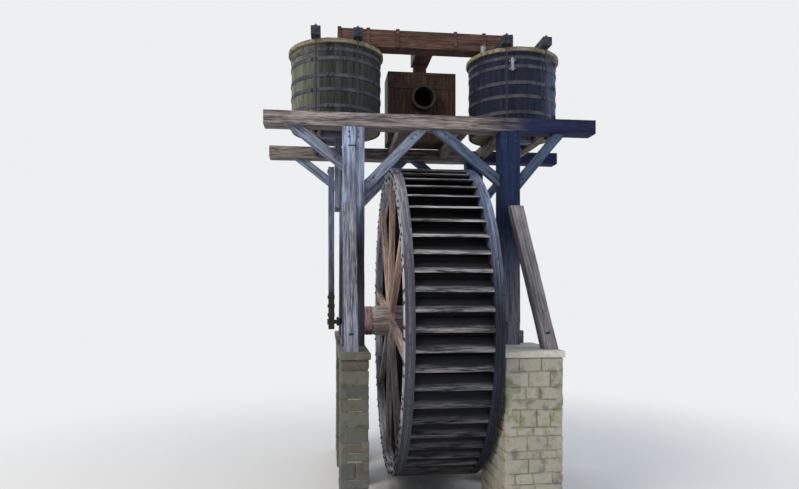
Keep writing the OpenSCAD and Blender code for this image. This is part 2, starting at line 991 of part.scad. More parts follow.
module pin_hole(place, radius) {
    translate([rod_x - rod_t, 0, place])
        rotate([0, quarter_turn, 0])
            cylinder(h = 3 * rod_t, r = radius);
}

module connecting_rod() {
    on_rod()
        difference() {
            span([rod_x, -rod_w / 2, -rod_tail], [rod_out, rod_w / 2, rod_len + rod_nose]);
            pin_hole(0, crank_pin_r + running_gap);
            pin_hole(rod_len, wrist_pin_r + pin_fit);
        }
}

module connecting_rod_left() {
    color("SteelBlue")
        rotate(half_turn)
            connecting_rod();
}

module connecting_rod_right() {
    color("SteelBlue")
        connecting_rod();
}

// iron straps round the rod's lower end, a strap under its foot, and the wrist pin
module rod_straps() {
    on_rod() {
        for (step = [0 : strap_count - 1])
            difference() {
                span([rod_x - strap_t, -rod_w / 2 - 2 * strap_t, strap_first + step * strap_pitch],
                    [rod_out + strap_t, rod_w / 2 + 2 * strap_t,
                        strap_first + step * strap_pitch + strap_w]);
                span([rod_x, -rod_w / 2 - strap_t, 0],
                    [rod_out, rod_w / 2 + strap_t, rod_len]);
            }
        difference() {
            span([rod_x + strap_t, -rod_w / 2 - strap_t, -rod_tail - strap_t],
                [rod_out - strap_t, rod_w / 2 + strap_t,
                    strap_first + (strap_count - 1) * strap_pitch + 2 * strap_w]);
            span([rod_x, -rod_w / 2, -rod_tail],
                [rod_out, rod_w / 2, rod_len]);
        }
        translate([guide_out + wrist_gap, 0, rod_len])
            rotate([0, quarter_turn, 0])
                cylinder(h = rod_out + wrist_head_t - guide_out - wrist_gap, r = wrist_pin_r);
        translate([rod_out, 0, rod_len])
            rotate([0, quarter_turn, 0])
                cylinder(h = wrist_head_t, r = wrist_head_d / 2);
    }
}

module rod_straps_left() {
    color("DarkSlateGray")
        rotate(half_turn)
            rod_straps();
}

module rod_straps_right() {
    color("DarkSlateGray")
        rod_straps();
}

pier_front_left();
pier_front_right();
pier_rear_left();
pier_rear_right();
piers_bearing();
pier_caps();
post_front_left();
post_front_right();
post_rear_left();
post_rear_right();
beam_front();
beam_rear();
braces_front();
braces_rear();
rakers_front();
rakers_rear();
floor_joists();
guides();
bearing_sills();
bearings();
tub_left();
tub_right();
tub_hoops();
tub_floors();
tub_lids();
lid_bars();
tie_rods();
air_chest();
air_chest_covers();
air_duct();
blast_outlet();
piston_left();
piston_right();
shaft();
shaft_bands();
crank_left();
crank_right();
arms_left();
arms_right();
rim_left();
rim_right();
sole_boards();
bucket_fronts();
bucket_floors();
connecting_rod_left();
connecting_rod_right();
rod_straps_left();
rod_straps_right();
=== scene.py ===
import math
from functools import partial

import bpy
import numpy as np
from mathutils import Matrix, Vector


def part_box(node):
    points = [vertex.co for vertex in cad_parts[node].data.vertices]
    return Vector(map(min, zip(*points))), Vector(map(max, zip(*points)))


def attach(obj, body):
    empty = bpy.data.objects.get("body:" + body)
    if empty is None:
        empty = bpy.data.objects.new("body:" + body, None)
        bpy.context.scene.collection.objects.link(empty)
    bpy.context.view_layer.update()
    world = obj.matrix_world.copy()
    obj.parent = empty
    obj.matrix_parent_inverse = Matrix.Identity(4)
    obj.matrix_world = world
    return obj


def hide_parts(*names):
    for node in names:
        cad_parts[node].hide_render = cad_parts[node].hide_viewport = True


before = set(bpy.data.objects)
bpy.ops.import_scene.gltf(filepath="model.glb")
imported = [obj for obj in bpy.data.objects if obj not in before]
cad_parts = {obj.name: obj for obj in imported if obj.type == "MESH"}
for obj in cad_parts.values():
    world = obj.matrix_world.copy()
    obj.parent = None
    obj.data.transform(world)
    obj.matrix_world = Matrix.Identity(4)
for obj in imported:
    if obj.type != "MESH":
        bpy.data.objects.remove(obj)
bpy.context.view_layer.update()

# The view: standing in front of the wheel, a little above its axle and to its left, looking level.
# The picture's middle is shifted up, so the upright timbers stay upright.
PICTURE_W, PICTURE_H = 799, 489
FOCAL_PIXELS = 617
HORIZON_ROW = 290
SENSOR_MM = 36
EYE_X, EYE_Y, EYE_OVER_AXLE = -2.2, -13.75, 0.68
VIEW_TURN = math.radians(-6.69)


def ends_of(name):
    """The low and the high corner of a CAD node's box, as arrays."""
    return [np.array(v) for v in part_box(name)]


def placed(name, data):
    """A new object in the scene, at the origin."""
    made = bpy.data.objects.new(name, data)
    bpy.context.scene.collection.objects.link(made)
    return made


axle_z = np.mean(ends_of("rim_left"), axis=0)[2]
view = bpy.data.cameras.new("view")
view.sensor_width = SENSOR_MM
view.lens = FOCAL_PIXELS / PICTURE_W * SENSOR_MM
view.shift_y = (HORIZON_ROW - PICTURE_H / 2) / PICTURE_W
eye = placed("view", view)
eye.location = (EYE_X, EYE_Y, axle_z + EYE_OVER_AXLE)
eye.rotation_euler = (math.radians(90), 0, VIEW_TURN)
bpy.context.scene.camera = eye
bpy.context.scene.view_settings.view_transform = "Standard"


# The room: one pale floor that fades into a pale world. Three broad lamps light the engine from
# the left, the right and behind, and the left one is the strongest.
def fill(tree, made, inputs):
    """Fills a node's inputs with values or links: a list in the node's order, or a dict by name
    or number."""
    for key, value in inputs.items() if isinstance(inputs, dict) else enumerate(inputs):
        if isinstance(value, bpy.types.NodeSocket):
            tree.links.new(value, made.inputs[key])
        else:
            made.inputs[key].default_value = value


def node(tree, kind, inputs=(), out=0, **settings):
    """Adds one shader node with its settings and its inputs, and gives its output out."""
    made = tree.nodes.new("ShaderNode" + kind)
    for key, value in settings.items():
        setattr(made, key, value)
    fill(tree, made, inputs)
    return made.outputs[out]


def linear(hex_code):
    """sRGB hex to linear RGBA: c/12.92 below 0.04045, else ((c + 0.055) / 1.055) ^ 2.4."""
    parts = [int(hex_code[i:i + 2], 16) / 255 for i in (1, 3, 5)]
    return tuple(c / 12.92 if c < 0.04045 else ((c + 0.055) / 1.055) ** 2.4 for c in parts) + (1.0,)


def started(name):
    """A new material, node for its own tree, and the place on the piece in metres."""
    made = bpy.data.materials.new(name)
    made.use_nodes = True
    add = partial(node, made.node_tree)
    return made, add, add("TexCoord", out="Object")


FLOOR_HALF = 60
HAZE_FROM, HAZE_TO = 5.0, 15.0
WHITE = linear("#eeeff0")
floor_mesh = bpy.data.meshes.new("floor")
corners = [(x * FLOOR_HALF, y * FLOOR_HALF, 0) for x, y in ((-1, -1), (1, -1), (1, 1), (-1, 1))]
floor_mesh.from_pydata(corners, [], [(0, 1, 2, 3)])
floor_finish, add, place = started("pale floor")
tree = floor_finish.node_tree
matt = tree.nodes["Principled BSDF"]
fill(tree, matt, {"Base Color": linear("#eeedea"), "Roughness": 0.9})
far = add("VectorMath", [place], out="Value", operation="LENGTH")
faded = add("MapRange", [far, HAZE_FROM, HAZE_TO], interpolation_type="SMOOTHSTEP")
haze = add("Emission", {"Color": WHITE, "Strength": 1.0})
fill(tree, tree.nodes["Material Output"], [add("MixShader", [faded, matt.outputs[0], haze])])
floor_mesh.materials.append(floor_finish)
placed("floor", floor_mesh)

world = bpy.data.worlds.new("pale sky")
world.use_nodes = True
bpy.context.scene.world = world
tree = world.node_tree
add = partial(node, tree)
rays = add("LightPath").node.outputs
seen = add("Math", [rays["Is Camera Ray"], rays["Is Glossy Ray"]], operation="MAXIMUM")
sky = add("Background", {"Color": linear("#dfe6f2"), "Strength": 0.55})
behind = add("Background", {"Color": WHITE, "Strength": 1.0})
fill(tree, tree.nodes["World Output"], [add("MixShader", [seen, sky, behind])])

for name, place, aim_z, width, power, tint in (
        ("left lamp", (-15, -13, 15), 5, 10, 2600, "#fff6ea"),
        ("right lamp", (17, -8, 12), 5, 10, 900, "#e6eeff"),
        ("back lamp", (-4, 18, 16), 6, 12, 1400, "#f2f6ff")):
    light = bpy.data.lights.new(name, "AREA")
    light.size = width
    light.energy = power
    light.color = linear(tint)[:3]
    lamp = placed(name, light)
    lamp.location = place
    lamp.rotation_euler = (Vector((0, 0, aim_z)) - Vector(place)).to_track_quat("-Z", "Y").to_euler()

# Piers: rubble sandstone laid in rough courses with lime mortar, one pier under each pair of
# timbers. Each stands on the floor, and a mortar core fills the middle behind its stones.
COURSE_H = 0.22
STONE_L = 0.36
JOINT = 0.016
STONE_WORN = 0.016
STONE_WANDER = 0.011
STONE_PROUD = 0.02
STONE_DEEP = 0.12
BEARING_PIER_IN = 1.43
CORNERS = np.array([(i >> 2 & 1, i >> 1 & 1, i & 1) for i in range(8)])


def box_faces():
    """The faces of a worn box over its 24 points, three at each corner, one on each side that
    meets there: 6 sides, 12 edges and 8 corners, turned outwards."""
    faces = []
    for a, b, c in ((0, 1, 2), (1, 0, 2), (2, 0, 1)):
        step_a, step_b, step_c = (4 >> k for k in (a, b, c))
        for side in (0, step_a):
            faces.append([3 * (side + v) + a for v in (0, step_b, step_b + step_c, step_c)])
        for low in (0, step_c, step_b, step_b + step_c):
            high = low + step_a
            faces.append([3 * low + b, 3 * high + b, 3 * high + c, 3 * low + c])
    faces += [[3 * i, 3 * i + 1, 3 * i + 2] for i in range(8)]
    spots = np.where(np.tile(np.eye(3), (8, 1)), CORNERS.repeat(3, 0), 0.2 + 0.6 * CORNERS.repeat(3, 0))
    outward = [np.cross(p[1] - p[0], p[2] - p[0]) @ (p.mean(0) - 0.5) > 0 for p in (spots[f] for f in faces)]
    return [face if out else face[::-1] for face, out in zip(faces, outward)]


BOX_FACES = box_faces()


def worn_boxes(corners, worn, rng):
    """Boxes from their corners (n, 8, 3), in the order of CORNERS, with arrises worn by worn.
    Each point is the trilinear blend of the corners at 0 or 1 along its own axis, and along the
    other two at the wear over the side's length, in from 0 or 1. Gives points, faces, grain and
    tone: grain is the distance along each side in metres plus one random shift for each box."""
    corners = np.asarray(corners, float).reshape(-1, 8, 3)
    n = len(corners)
    sides = corners[:, [4, 2, 1]] - corners[:, :1]
    lengths = np.linalg.norm(sides, axis=2)[:, None]
    inset = np.minimum(worn, lengths * 0.3) / lengths
    whole = CORNERS.repeat(3, 0)
    spots = np.where(np.tile(np.eye(3), (8, 1)), whole, whole + (1 - 2 * whole) * inset)
    share = np.where(CORNERS, spots[:, :, None], 1 - spots[:, :, None]).prod(3)
    grain = spots * lengths + rng.uniform(0, 40, (n, 1, 3))
    tone = np.repeat(rng.uniform(0, 1, n), 24)
    ways = np.where(np.linalg.det(sides) > 0, 1, -1)
    faces = [[v + 24 * j for v in face[::way]] for j, way in enumerate(ways) for face in BOX_FACES]
    return (share @ corners).reshape(-1, 3), faces, grain.reshape(-1, 3), tone


def straight(lows, highs):
    """Corners of boxes that lie along the axes, from their low and high corners."""
    lows, highs = np.atleast_2d(lows).astype(float), np.atleast_2d(highs).astype(float)
    return lows[:, None] + CORNERS * (highs - lows)[:, None]


def joined(*shells):
    """Several shells as one: points stacked, face numbers moved up to match."""
    faces = []
    base = 0
    for points, shell_faces, _, _ in shells:
        faces += [[v + base for v in face] for face in shell_faces]
        base += len(points)
    points, _, grain, tone = zip(*shells)
    return np.concatenate(points), faces, np.concatenate(grain), np.concatenate(tone)


def piece(name, shell, finish, slot, *hides, body="frame"):
    """Makes a shell an object with its finish, and says what it rides on and which CAD nodes it stands
    for; slot is not used. The mesh keeps grain and tone for its material."""
    points, faces, grain, tone = shell
    mesh = bpy.data.meshes.new(name)
    mesh.from_pydata(points.tolist(), [], faces)
    for key, kind, field, values in (("grain", "FLOAT_VECTOR", "vector", grain),
                                     ("tone", "FLOAT", "value", tone)):
        mesh.attributes.new(key, kind, "POINT").data.foreach_set(field, values.astype(np.float32).ravel())
    mesh.materials.append(finish)
    made = placed(name, mesh)
    with bpy.context.temp_override(object=made, selected_objects=[made], selected_editable_objects=[made]):
        bpy.ops.object.shade_smooth_by_angle(angle=math.radians(38))
    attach(made, body)
    if hides:
        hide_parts(*hides)


def millimetres(size):
    """Cycles per metre of a pattern whose spacing is size millimetres."""
    return 1000.0 / size


BLEND = {"out": 2, "data_type": "RGBA"}
TINT = {**BLEND, "blend_type": "MULTIPLY"}


def surfaced(made, strength, depth, height, inputs):
    """Closes a material: its shader takes the inputs and a bump, depth metres deep, from height."""
    tree = made.node_tree
    bump = node(tree, "Bump", {"Strength": strength, "Distance": depth, "Height": height})
    fill(tree, tree.nodes["Principled BSDF"], {**inputs, "Normal": bump})
    return made


def sandstone(name, tones, moss, moss_top, wash=0.0):
    """Split sandstone: a warm or grey tone for each stone, sand grains of about 2 mm drawn at
    14 mm so that they show, and lime wash and moss in patches, the moss thinner below moss_top."""
    made, add, place = started(name)
    stone = add("ValToRGB", [add("Attribute", out="Fac", attribute_name="tone")])
    ramp = stone.node.color_ramp
    ramp.elements[0].color = linear(tones[0])
    ramp.elements[1].color = linear(tones[-1])
    for i, shade in enumerate(tones[1:-1], 1):
        ramp.elements.new(i / (len(tones) - 1)).color = linear(shade)
    sand = add("TexNoise", {"Vector": place, "Scale": millimetres(14), "Detail": 4.0, "Roughness": 0.7})
    cloud = add("TexNoise", {"Vector": place, "Scale": millimetres(300), "Detail": 5.0, "Roughness": 0.65})
    level = add("MapRange", [sand, 0.3, 0.7, 0.72, 1.2])
    colour = add("Mix", {0: 1.0, 6: stone, 7: level}, **TINT)
    washed = add("MapRange", [cloud, 0.35, 0.6, 0.0, wash])
    colour = add("Mix", {0: washed, 6: colour, 7: linear("#cfcabd")}, **BLEND)
    height = add("SeparateXYZ", [place], out="Z")
    damp = add("MapRange", [height, moss_top - 2.6, moss_top, 0.15, 0.9])
    growth = add("MapRange", [cloud, 0.48, 0.62])
    mossy = add("Math", [damp, growth], operation="MULTIPLY")
    colour = add("Mix", {0: mossy, 6: colour, 7: linear(moss)}, **BLEND)
    rough = add("Math", [cloud, 3.0, sand], operation="MULTIPLY_ADD")
    return surfaced(made, 0.8, 0.012, rough, {"Base Color": colour, "Roughness": 0.93})


def cut(length, count, spread, rng):
    """Count stretches (from, to) that fill length end to end, each within spread of the mean
    before they are scaled to fit."""
    edges = np.cumsum([0, *rng.uniform(1 - spread, 1 + spread, count)])
    edges *= length / edges[-1]
    return zip(edges[:-1], edges[1:])


def face_courses(origin, run, out, length, height, rng):
    """Stones of one pier face: courses of about COURSE_H, each cut into lengths about STONE_L
    with the joints moved from course to course. A stone's corners wander by STONE_WANDER and its
    face stands out by up to STONE_PROUD less that."""
    boxes = []
    for low, high in cut(height, max(1, round(height / COURSE_H)), 0.4, rng):
        count = max(1, round(length / STONE_L / rng.uniform(0.7, 1.4)))
        for a, b in cut(length, count, 0.5, rng):
            proud = rng.uniform(0, STONE_PROUD - STONE_WANDER)
            stone = straight([a + (JOINT / 2 if a > 0 else 0), -STONE_DEEP, low + JOINT / 2],
                             [b - (JOINT / 2 if b < length else 0), proud, high - JOINT / 2])[0]
            boxes.append(origin + stone @ [run, out, (0, 0, 1)]
                         + rng.uniform(-STONE_WANDER, STONE_WANDER, (8, 3)))
    return boxes


def rubble_pier(low, high, rng):
    """Four faces of coursed stones, and the corners of a mortar core that stops JOINT behind
    them. The stones lie STONE_PROUD inside the pier's own outline, so they don't pass it."""
    low, high = np.array([low, high]) + [[STONE_PROUD, STONE_PROUD, 0], [-STONE_PROUD, -STONE_PROUD, 0]]
    width, depth, height = high - low
    x, y, _ = np.eye(3)
    boxes = []
    for corner, run, out, length in ((low, x, -y, width), (low + y * depth, x, y, width),
                                     (low, y, -x, depth), (low + x * width, y, x, depth)):
        boxes += face_courses(corner, run, out, length, height, rng)
    return worn_boxes(boxes, STONE_WORN, rng), straight(low + [JOINT, JOINT, 0], high - [JOINT, JOINT, 0])


pier_rng = np.random.default_rng(11)
mossy_stone = sandstone("split sandstone, mossy", ["#4c4f4b", "#5c5b54", "#3f4444", "#65655e", "#53493f"],
                        "#3b4429", axle_z - 0.4, wash=0.12)
washed_stone = sandstone("split sandstone, lime washed", ["#8f887b", "#a09787", "#7c766c", "#b1a998"],
                         "#7c7f5a", axle_z - 1.6, wash=0.85)
mortar = sandstone("lime mortar", ["#8e8776", "#9a9383"], "#5c6436", axle_z - 0.4, wash=0.3)
cores = []
for pier in ("front_left", "front_right", "rear_left", "rear_right"):
    stones, core = rubble_pier(*ends_of("pier_" + pier), pier_rng)
    cores.append(core)
    piece(f"pier_{pier}_stones", stones, washed_stone if pier.endswith("right") else mossy_stone,
          "masonry", "pier_" + pier)
bearing_low, bearing_high = ends_of("piers_bearing")
bearing_stones = []
for low_x, high_x in ((bearing_low[0], -BEARING_PIER_IN), (BEARING_PIER_IN, bearing_high[0])):
    stones, core = rubble_pier([low_x, *bearing_low[1:]], [high_x, *bearing_high[1:]], pier_rng)
    cores.append(core)
    bearing_stones.append(stones)
piece("pier_bearing_stones", joined(*bearing_stones), mossy_stone, "masonry", "piers_bearing")
piece("pier_mortar", worn_boxes(np.concatenate(cores), 0.004, pier_rng), mortar, "masonry")


# Pier caps: cast slabs of pale concrete bedded on the stones, worn at the edges. The timbers
# stand on them, so they are what keeps the oak out of the wet.
def pale_concrete(name, pale, damp, moss_share):
    """Trowelled concrete: a pale ground, runs of damp, moss where the damp is strongest, and
    aggregate of 8 mm drawn at 26 mm so that it shows."""
    made, add, place = started(name)
    speck = add("TexVoronoi", {"Vector": place, "Scale": millimetres(26)}, out="Distance")
    cloud = add("TexNoise", {"Vector": place, "Scale": millimetres(350), "Detail": 6.0, "Roughness": 0.65})
    colour = add("Mix", {0: cloud, 6: linear(damp), 7: linear(pale)}, **BLEND)
    dots = add("MapRange", [speck, 0.05, 0.35, 0.82, 1.0])
    colour = add("Mix", {0: 1.0, 6: colour, 7: dots}, **TINT)
    growth = add("MapRange", [cloud, 0.62, 0.42, 0.0, moss_share])
    colour = add("Mix", {0: growth, 6: colour, 7: linear("#4a4d38")}, **BLEND)
    return surfaced(made, 0.5, 0.008, cloud, {"Base Color": colour, "Roughness": 0.88})


def sided(side, near, far):
    """Where near and far lie on one side of the middle, the lower one first."""
    return sorted((side * near, side * far))


PIER_CAP_LIP = 0.02
CAP_WORN = 0.014
cap_low, cap_high = ends_of("pier_caps")
for side, name, finish, hides in (
        (-1, "left", pale_concrete("trowelled concrete, mossy", "#7c7b70", "#47483f", 0.5), ["pier_caps"]),
        (1, "right", pale_concrete("trowelled concrete, pale", "#f0ecdf", "#a9a79c", 0.1), [])):
    slabs = []
    for end in ("front", "rear"):
        low, high = ends_of(f"pier_{end}_{name}")
        slabs.append(straight([*(low[:2] - PIER_CAP_LIP), cap_low[2]],
                              [*(high[:2] + PIER_CAP_LIP), cap_high[2]]))
    near_x, far_x = sided(side, BEARING_PIER_IN, bearing_high[0])
    slabs.append(straight([near_x, bearing_low[1], cap_low[2]], [far_x, bearing_high[1], cap_high[2]]))
    piece(f"pier_cap_slabs_{name}", worn_boxes(np.concatenate(slabs), CAP_WORN, pier_rng), finish,
          "pier_cap", *hides)

# Posts: oak squared with axe and adze, so the faces are a little hollow and the arrises are
# broken. Each stands on its pier; the front right one is notched at its foot.
CHECK_DEPTH = 0.012
CHECK_HALF = 0.006
NOTCH_W = 0.14
NOTCH_H = 0.47


def weathered_oak(name, pale, dark, stain, stain_share=0.5, fade=None, wet=0.0, lip=None,
                  fibre_mm=16, crack_share=0.5):
    """Hewn oak left in the weather: silver fibres over dark ones, long drying cracks, and
    patches of damp stain. Its fibres are 1 to 2 mm apart and are drawn at fibre_mm so that they
    show. fade = (axis, low, high, colour) turns the colour towards one end of the object. lip =
    (radius from, radius to, colour, height from, height to) changes the colour outside a radius
    of the axle, the more so the nearer the height is to the second one."""
    made, add, place = started(name)
    grain = add("Attribute", out="Vector", attribute_name="grain")
    noises = []
    for size, along, detail, rough, bend in ((fibre_mm, 0.06, 5.0, 0.62, 0.4), (420, 0.4, 4.0, 0.6, 0.0),
                                             (95, 0.05, 3.0, 0.5, 0.0), (70, 0.08, 3.0, 0.55, 0.0)):
        stretch = [k * millimetres(size) for k in (along, 1, 1)]
        drawn = add("Mapping", {"Vector": grain, "Scale": stretch})
        noises.append(add("TexNoise", {"Vector": drawn, "Scale": 1.0, "Detail": detail,
                                       "Roughness": rough, "Distortion": bend}))
    fibre, patch, split, streak = noises
    crack = add("ValToRGB", [split])
    ramp = crack.node.color_ramp
    for stop, position in zip(ramp.elements, (0.47, 0.53)):
        stop.position = position
        stop.color = (0, 0, 0, 1)
    ramp.elements.new(0.5).color = (crack_share, crack_share, crack_share, 1)
    fibres = add("Math", [streak, 0.8, fibre], operation="MULTIPLY_ADD")
    fibres = add("MapRange", [fibres, 0.72, 1.08])
    colour = add("Mix", {0: fibres, 6: linear(dark), 7: linear(pale)}, **BLEND)
    stained = add("MapRange", [patch, 0.45, 0.68, 0.0, stain_share])
    colour = add("Mix", {0: stained, 6: colour, 7: linear(stain)}, **BLEND)
    if fade:
        axis, low, high, end_colour = fade
        reach = abs(high - low)
        spot = add("SeparateXYZ", [place], out=axis)
        ragged = add("Math", [patch, reach * 0.6, spot], operation="MULTIPLY_ADD")
        amount = add("MapRange", [ragged, low + reach * 0.3, high + reach * 0.3, 0.0, 0.97])
        thin = add("MapRange", [fibres, 0.0, 1.0, 0.55, 1.45])
        end_fibres = add("Mix", {0: 1.0, 6: linear(end_colour), 7: thin}, **TINT)
        colour = add("Mix", {0: amount, 6: colour, 7: end_fibres}, **BLEND)
    tone = add("Attribute", out="Fac", attribute_name="tone")
    level = add("MapRange", [tone, 0.0, 1.0, 0.78, 1.18])
    colour = add("Mix", {0: 1.0, 6: colour, 7: level}, **TINT)
    colour = add("Mix", {0: crack, 6: colour, 7: linear("#0d0c0b")}, **BLEND)
    # The lip colour marks worn edges and also paints light and shade that grow towards one height.
    if lip:
        radius_from, radius_to, lip_colour, height_from, height_to = lip
        reach = radius_to - radius_from
        spot = add("SeparateXYZ", [place]).node.outputs
        rise = add("Math", [spot["Z"], axle_z], operation="SUBTRACT")
        out = add("CombineXYZ", [0.0, spot["Y"], rise])
        radius = add("VectorMath", [out], out="Value", operation="LENGTH")
        ragged = add("Math", [streak, reach * 0.8, radius], operation="MULTIPLY_ADD")
        edge = add("MapRange", [ragged, radius_from + reach * 0.4, radius_from + reach * 1.4])
        height = add("MapRange", [spot["Z"], height_from, height_to, 0.25, 0.95])
        amount = add("Math", [edge, height], operation="MULTIPLY")
        lip_fibres = add("Mix", {0: fibres, 6: linear(stain), 7: linear(lip_colour)}, **BLEND)
        colour = add("Mix", {0: amount, 6: colour, 7: lip_fibres}, **BLEND)
    shine = add("MapRange", [patch, 0.0, 1.0, 0.92 - 0.5 * wet, 0.78 - 0.5 * wet])
    dip = add("Math", [crack, -2.5, fibre], operation="MULTIPLY_ADD")
    return surfaced(made, 0.7, 0.006, dip,
                    {"Base Color": colour, "Roughness": shine, "Specular IOR Level": 0.3})


def unit(v):
    """A vector of length 1 along v."""
    return v / np.linalg.norm(v)


def skin(points, grain, tone, closed=False):
    """A shell over a grid of points (rows, ring, 3): a quad between neighbours, and a face on
    each end unless the last row meets the first. All are reversed where the quads point inwards
    on the whole: the cross product of a quad's diagonals against its place from the middle."""
    rows, ring = points.shape[:2]
    i, j = np.mgrid[0:rows if closed else rows - 1, 0:ring]
    up, k = (i + 1) % rows, (j + 1) % ring
    quads = np.stack([i * ring + j, i * ring + k, up * ring + k, up * ring + j], 2).reshape(-1, 4)
    points = points.reshape(-1, 3)
    p = points[quads] - points.mean(0)
    outward = np.sum(np.cross(p[:, 2] - p[:, 0], p[:, 3] - p[:, 1]) * p.mean(1)) > 0
    faces = quads.tolist()
    if not closed:
        faces += [list(range(ring))[::-1], list(range((rows - 1) * ring, rows * ring))]
    return (points, faces if outward else [face[::-1] for face in faces], grain.reshape(-1, 3),
            np.full(len(points), tone))


def opening(u, begin, finish):
    """How far a drying check is open at u: half a sine wave that starts at begin, 0 beyond finish."""
    wave = np.sin(np.pi * (u - begin) / max(finish - begin, 0.1))
    return np.where((u < begin) | (u > finish), 0, np.clip(wave, 0, 1))


def hewn(start, end, across, deep, rng, cuts=None, worn=0.012, wander=0.004, stations=28, checks=0.5):
    """A hewn timber. Its section is a rectangle of half sizes across and deep, with arcs of
    radius worn at the corners, drawn on the complex plane and turned by 1j from face to face;
    S(u, v) = section(v) + u along the axis, where u runs between two planes with the normals
    cuts. Slow sines of u hollow it, and on each face a drying check, a groove up to CHECK_DEPTH
    deep and 2 CHECK_HALF wide, may open and close along u."""
    start, end, across, deep = (np.array(v, float) for v in (start, end, across, deep))
    axis, sides = unit(end - start), [unit(across), unit(deep)]
    halves = np.linalg.norm([across, deep], axis=1)
    ring = []
    for turn, (reach, run) in enumerate([halves, halves[::-1]] * 2):
        groove = rng.uniform(-0.35, 0.35) * run + CHECK_HALF * np.array([-3, -1, 0, 1, 3])
        flat = reach + 1j * np.array([worn - run, *groove, run - worn])
        arc = reach - worn + 1j * (run - worn) + worn * np.exp(1j * math.pi / 8 * np.arange(1, 4))
        ring += [*(1j ** turn * flat), *(1j ** turn * arc)]
    ring = np.stack([np.real(ring), np.imag(ring)], 1)
    base = start + ring @ sides
    low, high = (((spot - base) @ plane) / (axis @ plane)
                 for spot, plane in zip((start, end), np.array(cuts or (axis, axis), float)))
    u = np.linspace(0, 1, stations)[:, None]
    reach = low + u * (high - low)
    points = base + reach[..., None] * axis
    inward = -(ring / halves) @ sides
    wave = rng.uniform(0, 6.28, 4)
    sway = wander * (np.sin(2.1 * reach + wave[0]) + 0.6 * np.sin(5.3 * reach + wave[1]))
    ripple = wander * 0.7 * np.sin(17 * reach + 1.05 * np.arange(len(ring)) + wave[2])
    points += ((abs(sway) + abs(ripple)) * np.sqrt(np.sin(np.pi * u)))[..., None] * inward
    for turn in range(4):
        begin, finish = np.sort(rng.uniform(0.05, 0.95, 2))
        if rng.random() <= checks and finish - begin >= 0.15:
            middle = turn * len(ring) // 4 + 3
            points[:, middle] += CHECK_DEPTH * opening(u, begin, finish) * inward[middle]
    grain = np.concatenate([reach[..., None], np.broadcast_to(ring, (stations, *ring.shape))], 2)
    return skin(points, grain + rng.uniform(0, 40, 3), rng.uniform(0.2, 0.8))


def hewn_box(low, high, along, rng, **more):
    """A hewn timber that fills the box low to high, its grain along axis number along."""
    low, high = np.array(low, float), np.array(high, float)
    middle = (low + high) / 2
    reach = np.diag((high - low) / 2)
    across, deep = (reach[k] for k in range(3) if k != along)
    return hewn(middle - reach[along], middle + reach[along], across, deep, rng, **more)


timber_rng = np.random.default_rng(23)
# The left posts turn dark below axle_z + 2.3: painted shade, where the rakers shade them.
grey_oak = weathered_oak("hewn oak, silver grey", "#a3b1cc", "#434c62", "#5a5a66", 0.6,
                         fade=("Z", axle_z + 2.3, axle_z + 1.5, "#35333a"))
# The right posts are painted dark navy: painted shade with a painted blue flare of light. They turn paler
# below axle_z + 1.9.
dark_oak = weathered_oak("hewn oak, navy, painted shade", "#1c3560", "#060f22", "#08152e", 0.5,
                         fade=("Z", axle_z + 1.9, axle_z + 0.3, "#757580"))
for post in ("front_left", "rear_left", "front_right", "rear_right"):
    low, high = ends_of("post_" + post)
    if post == "front_right":
        shoulder = low[2] + NOTCH_H
        timber = joined(hewn_box([*low[:2], shoulder], high, 2, timber_rng, stations=40),
                        hewn_box(low + [NOTCH_W, 0, 0], [*high[:2], shoulder], 2, timber_rng, stations=8))
    else:
        timber = hewn_box(low, high, 2, timber_rng, stations=44)
    finish, slot = (grey_oak, "grey_timber") if post.endswith("left") else (dark_oak, "dark_timber")
    piece(f"post_{post}_timber", timber, finish, slot, "post_" + post)

# Rakers: each leans from its pier to a level head housed in the post, and takes the thrust of
# the cranks.
RAKER_HALF_W = 0.13
RAKER_HALF_T = 0.125
UP = (0, 0, 1)


def loose_points(name, low_x, high_x):
    """The points of a CAD node whose X lies between low_x and high_x."""
    points = np.array([v.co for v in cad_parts[name].data.vertices])
    return points[(points[:, 0] > low_x - 0.002) & (points[:, 0] < high_x + 0.002)]


def middle_of(points):
    """The middle of the box round some points."""
    return (points.min(0) + points.max(0)) / 2


# The rakers turn darker grey towards the right, so the right ones are darker: painted shade.
raker_oak = weathered_oak("hewn oak, bleached raker", "#a9b1bf", "#464b57", "#4c4d52", 0.5,
                          fade=("X", 0.2, 1.2, "#7d797a"))
raker_lines = {"front": [], "rear": []}
for end, lines in raker_lines.items():
    for low_x, high_x in ((-9, 0), (0, 9)):
        points = loose_points("rakers_" + end, low_x, high_x)
        foot = middle_of(points[points[:, 2] < points[:, 2].min() + 0.002])
        head = middle_of(points[points[:, 2] > points[:, 2].max() - 0.002])
        deep = unit(np.cross(head - foot, (1, 0, 0)))
        across = np.cross(deep, unit(head - foot))
        lines.append((foot, head, across * RAKER_HALF_W, deep * RAKER_HALF_T))
    shells = [hewn(*line, timber_rng, cuts=(UP, UP), stations=32, checks=0.8) for line in lines]
    piece(f"rakers_{end}_timber", joined(*shells), raker_oak, "grey_timber", "rakers_" + end)

# Main beams: one squared trunk along each frame, lying on the post heads, which carries the tubs.
# Rain runs down their faces and leaves them streaked.
# The beams turn dark navy towards their right ends: painted shade.
beam_oak = weathered_oak("hewn oak, rain streaked", "#aa9f9a", "#403836", "#3a4054", 0.5,
                         fade=("X", 0.9, 1.9, "#0a1a42"))
for beam in ("beam_front", "beam_rear"):
    piece(beam + "_timber", hewn_box(*ends_of(beam), 0, timber_rng, stations=70, worn=0.014), beam_oak,
          "beam_timber", beam)

